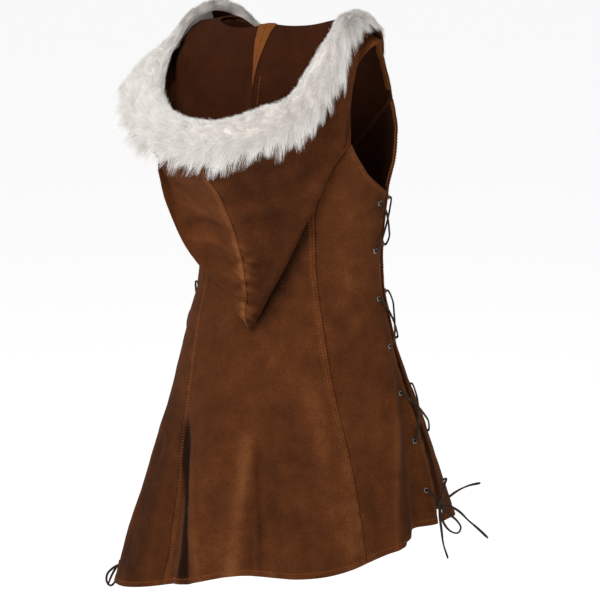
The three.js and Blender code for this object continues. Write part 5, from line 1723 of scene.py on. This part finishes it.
def hair_piece(name, locks, hairs, spread, reach, width, trail, low_only=False):
    """Hairs in locks: their roots lie round a lock's middle and their tips draw together.
    spread is how far they lie apart in mm, reach the share of the fur's depth that they come
    to, width half a hair's width in mm, and trail how far in mm the tips hang past the fur's
    form along its outer edge."""
    s0 = rng.uniform(0, 1, locks)
    a0 = rng.uniform(0.0, 0.34, locks) if low_only else rng.uniform(0.02, 0.98, locks)
    total = locks * hairs
    lock = np.repeat(np.arange(locks), hairs)
    length = arc(band[:, 1])[-1]
    s_root = np.clip(s0[lock] + rng.normal(0, spread / length, total), 0, 1)
    a_root = np.clip(a0[lock] + rng.normal(0, spread / 110, total), 0, 1)
    tips_share = rng.uniform(*reach, locks)[lock] * rng.uniform(0.84, 1.04, total)
    sweep = (rng.normal(7, 8, locks)[lock] + rng.normal(0, 2.5, total)) / length
    s_tip = np.clip(lerp(s_root, s0[lock], 0.68) + sweep, 0, 1)
    s_mid = np.clip(lerp(s_root, s0[lock], 0.25) + sweep * 0.4, 0, 1)
    root, n_root, down = fur_point(s_root, a_root, np.full(total, 0.12))
    middle, _, _ = fur_point(s_mid, lerp(a_root, a0[lock], 0.35), tips_share * 0.66)
    tip, _, _ = fur_point(s_tip, np.clip(lerp(a_root, a0[lock], 0.66), 0, 1), tips_share)
    outer_edge = smooth((section_at(a_root)[0] - 14) / 40) * smooth(section_at(a_root)[1] / 3)
    hang = (outer_edge * rng.uniform(0.2, 1.0, locks)[lock] ** 1.6 * trail)[:, None]
    tip = tip + down * hang + [0, 0, -0.25] * hang + rng.normal(0, 0.7, tip.shape)
    middle = middle + down * hang * 0.3
    t = unit(tip - root)
    side = unit(np.cross(t, rng.normal(size=t.shape) * 0.8 + n_root))
    w = (width * rng.uniform(0.6, 1.2, total))[:, None]
    w_middle = side * w * 0.8
    points = np.stack([root - side * w, root + side * w, middle + w_middle,
                       middle - w_middle, tip], 1)
    base_index = np.arange(total)[:, None] * 5
    tri = np.concatenate([base_index + [0, 1, 2], base_index + [0, 2, 3], base_index + [3, 2, 4]])
    flat_points = points.reshape(-1, 3)
    # darker root colour at the hairs' roots, less at their middles, none at the tips: partly
    # greyer base, partly painted shade
    colours = coloured(flat_points, np.repeat(s_root, 5),
                       np.tile([1.0, 1.0, 0.35, 0.35, 0.0], total))
    shade = np.repeat(rng.uniform(0.82, 1.0, locks)[lock] * rng.uniform(0.84, 1.0, total), 5)
    colours[:, :3] *= shade[:, None]
    make_object(name, flat_points, tri, [FUR], attributes={"hair": colours})


hair_piece("fur_hair_1", 2800, 15, 4.8, (0.8, 1.0), 0.36, 2)
hair_piece("fur_hair_2", 2000, 20, 4.6, (0.76, 1.04), 0.34, 4)
hair_piece("fur_tufts", 700, 46, 6.0, (0.84, 1.04), 0.34, 27, low_only=True)

# ---------------------------------------------------------------- stage, light
FLOOR_Z = -1.6
FLOOR_HALF = 40
floor_mesh = bpy.data.meshes.new("floor")
floor_mesh.from_pydata([(x, y, FLOOR_Z) for x, y in
                        ((-FLOOR_HALF, -FLOOR_HALF), (FLOOR_HALF, -FLOOR_HALF),
                         (FLOOR_HALF, FLOOR_HALF), (-FLOOR_HALF, FLOOR_HALF))], [],
                       [(0, 1, 2, 3)])
floor = bpy.data.objects.new("floor", floor_mesh)
bpy.context.scene.collection.objects.link(floor)
floor_material, _, floor_shader = new_material("floor")
floor_shader.inputs["Base Color"].default_value = (0.9, 0.9, 0.9, 1)
floor_shader.inputs["Roughness"].default_value = 0.9
floor_shader.inputs["Emission Color"].default_value = (1, 1, 1, 1)
floor_shader.inputs["Emission Strength"].default_value = 0.76
floor_mesh.materials.append(floor_material)

world = bpy.data.worlds.new("world")
world.use_nodes = True
world.node_tree.nodes["Background"].inputs["Color"].default_value = (1, 1, 1, 1)
world.node_tree.nodes["Background"].inputs["Strength"].default_value = 0.2
bpy.context.scene.world = world


def lamp(name, position, target, size, power):
    data = bpy.data.lights.new(name, "AREA")
    data.shape = "RECTANGLE"
    data.size = data.size_y = size
    data.energy = power
    obj = bpy.data.objects.new(name, data)
    back = unit(position - target)
    right = unit(np.cross([0, 0, 1], back))
    obj.matrix_world = posed(right, np.cross(back, right), back, position)
    bpy.context.scene.collection.objects.link(obj)


LIT_POINT = np.array([0, 0, -0.4])
# name, direction as shares of the camera's back, its right and up, distance, side, watts
LAMPS = [("key", (0.8, -0.45, 0.55), 2.6, 1.1, 43), ("fill", (0.8, 0.8, 0.2), 2.8, 1.8, 7),
         ("top", (-0.5, 0.0, 1.0), 2.6, 1.6, 8)]
for name, (back, right, up), distance, size, power in LAMPS:
    direction = unit(view_back * back + view_right * right + np.array([0, 0, up]))
    lamp(name, LIT_POINT + distance * direction, LIT_POINT, size, power)
bpy.context.scene.view_settings.view_transform = "Standard"
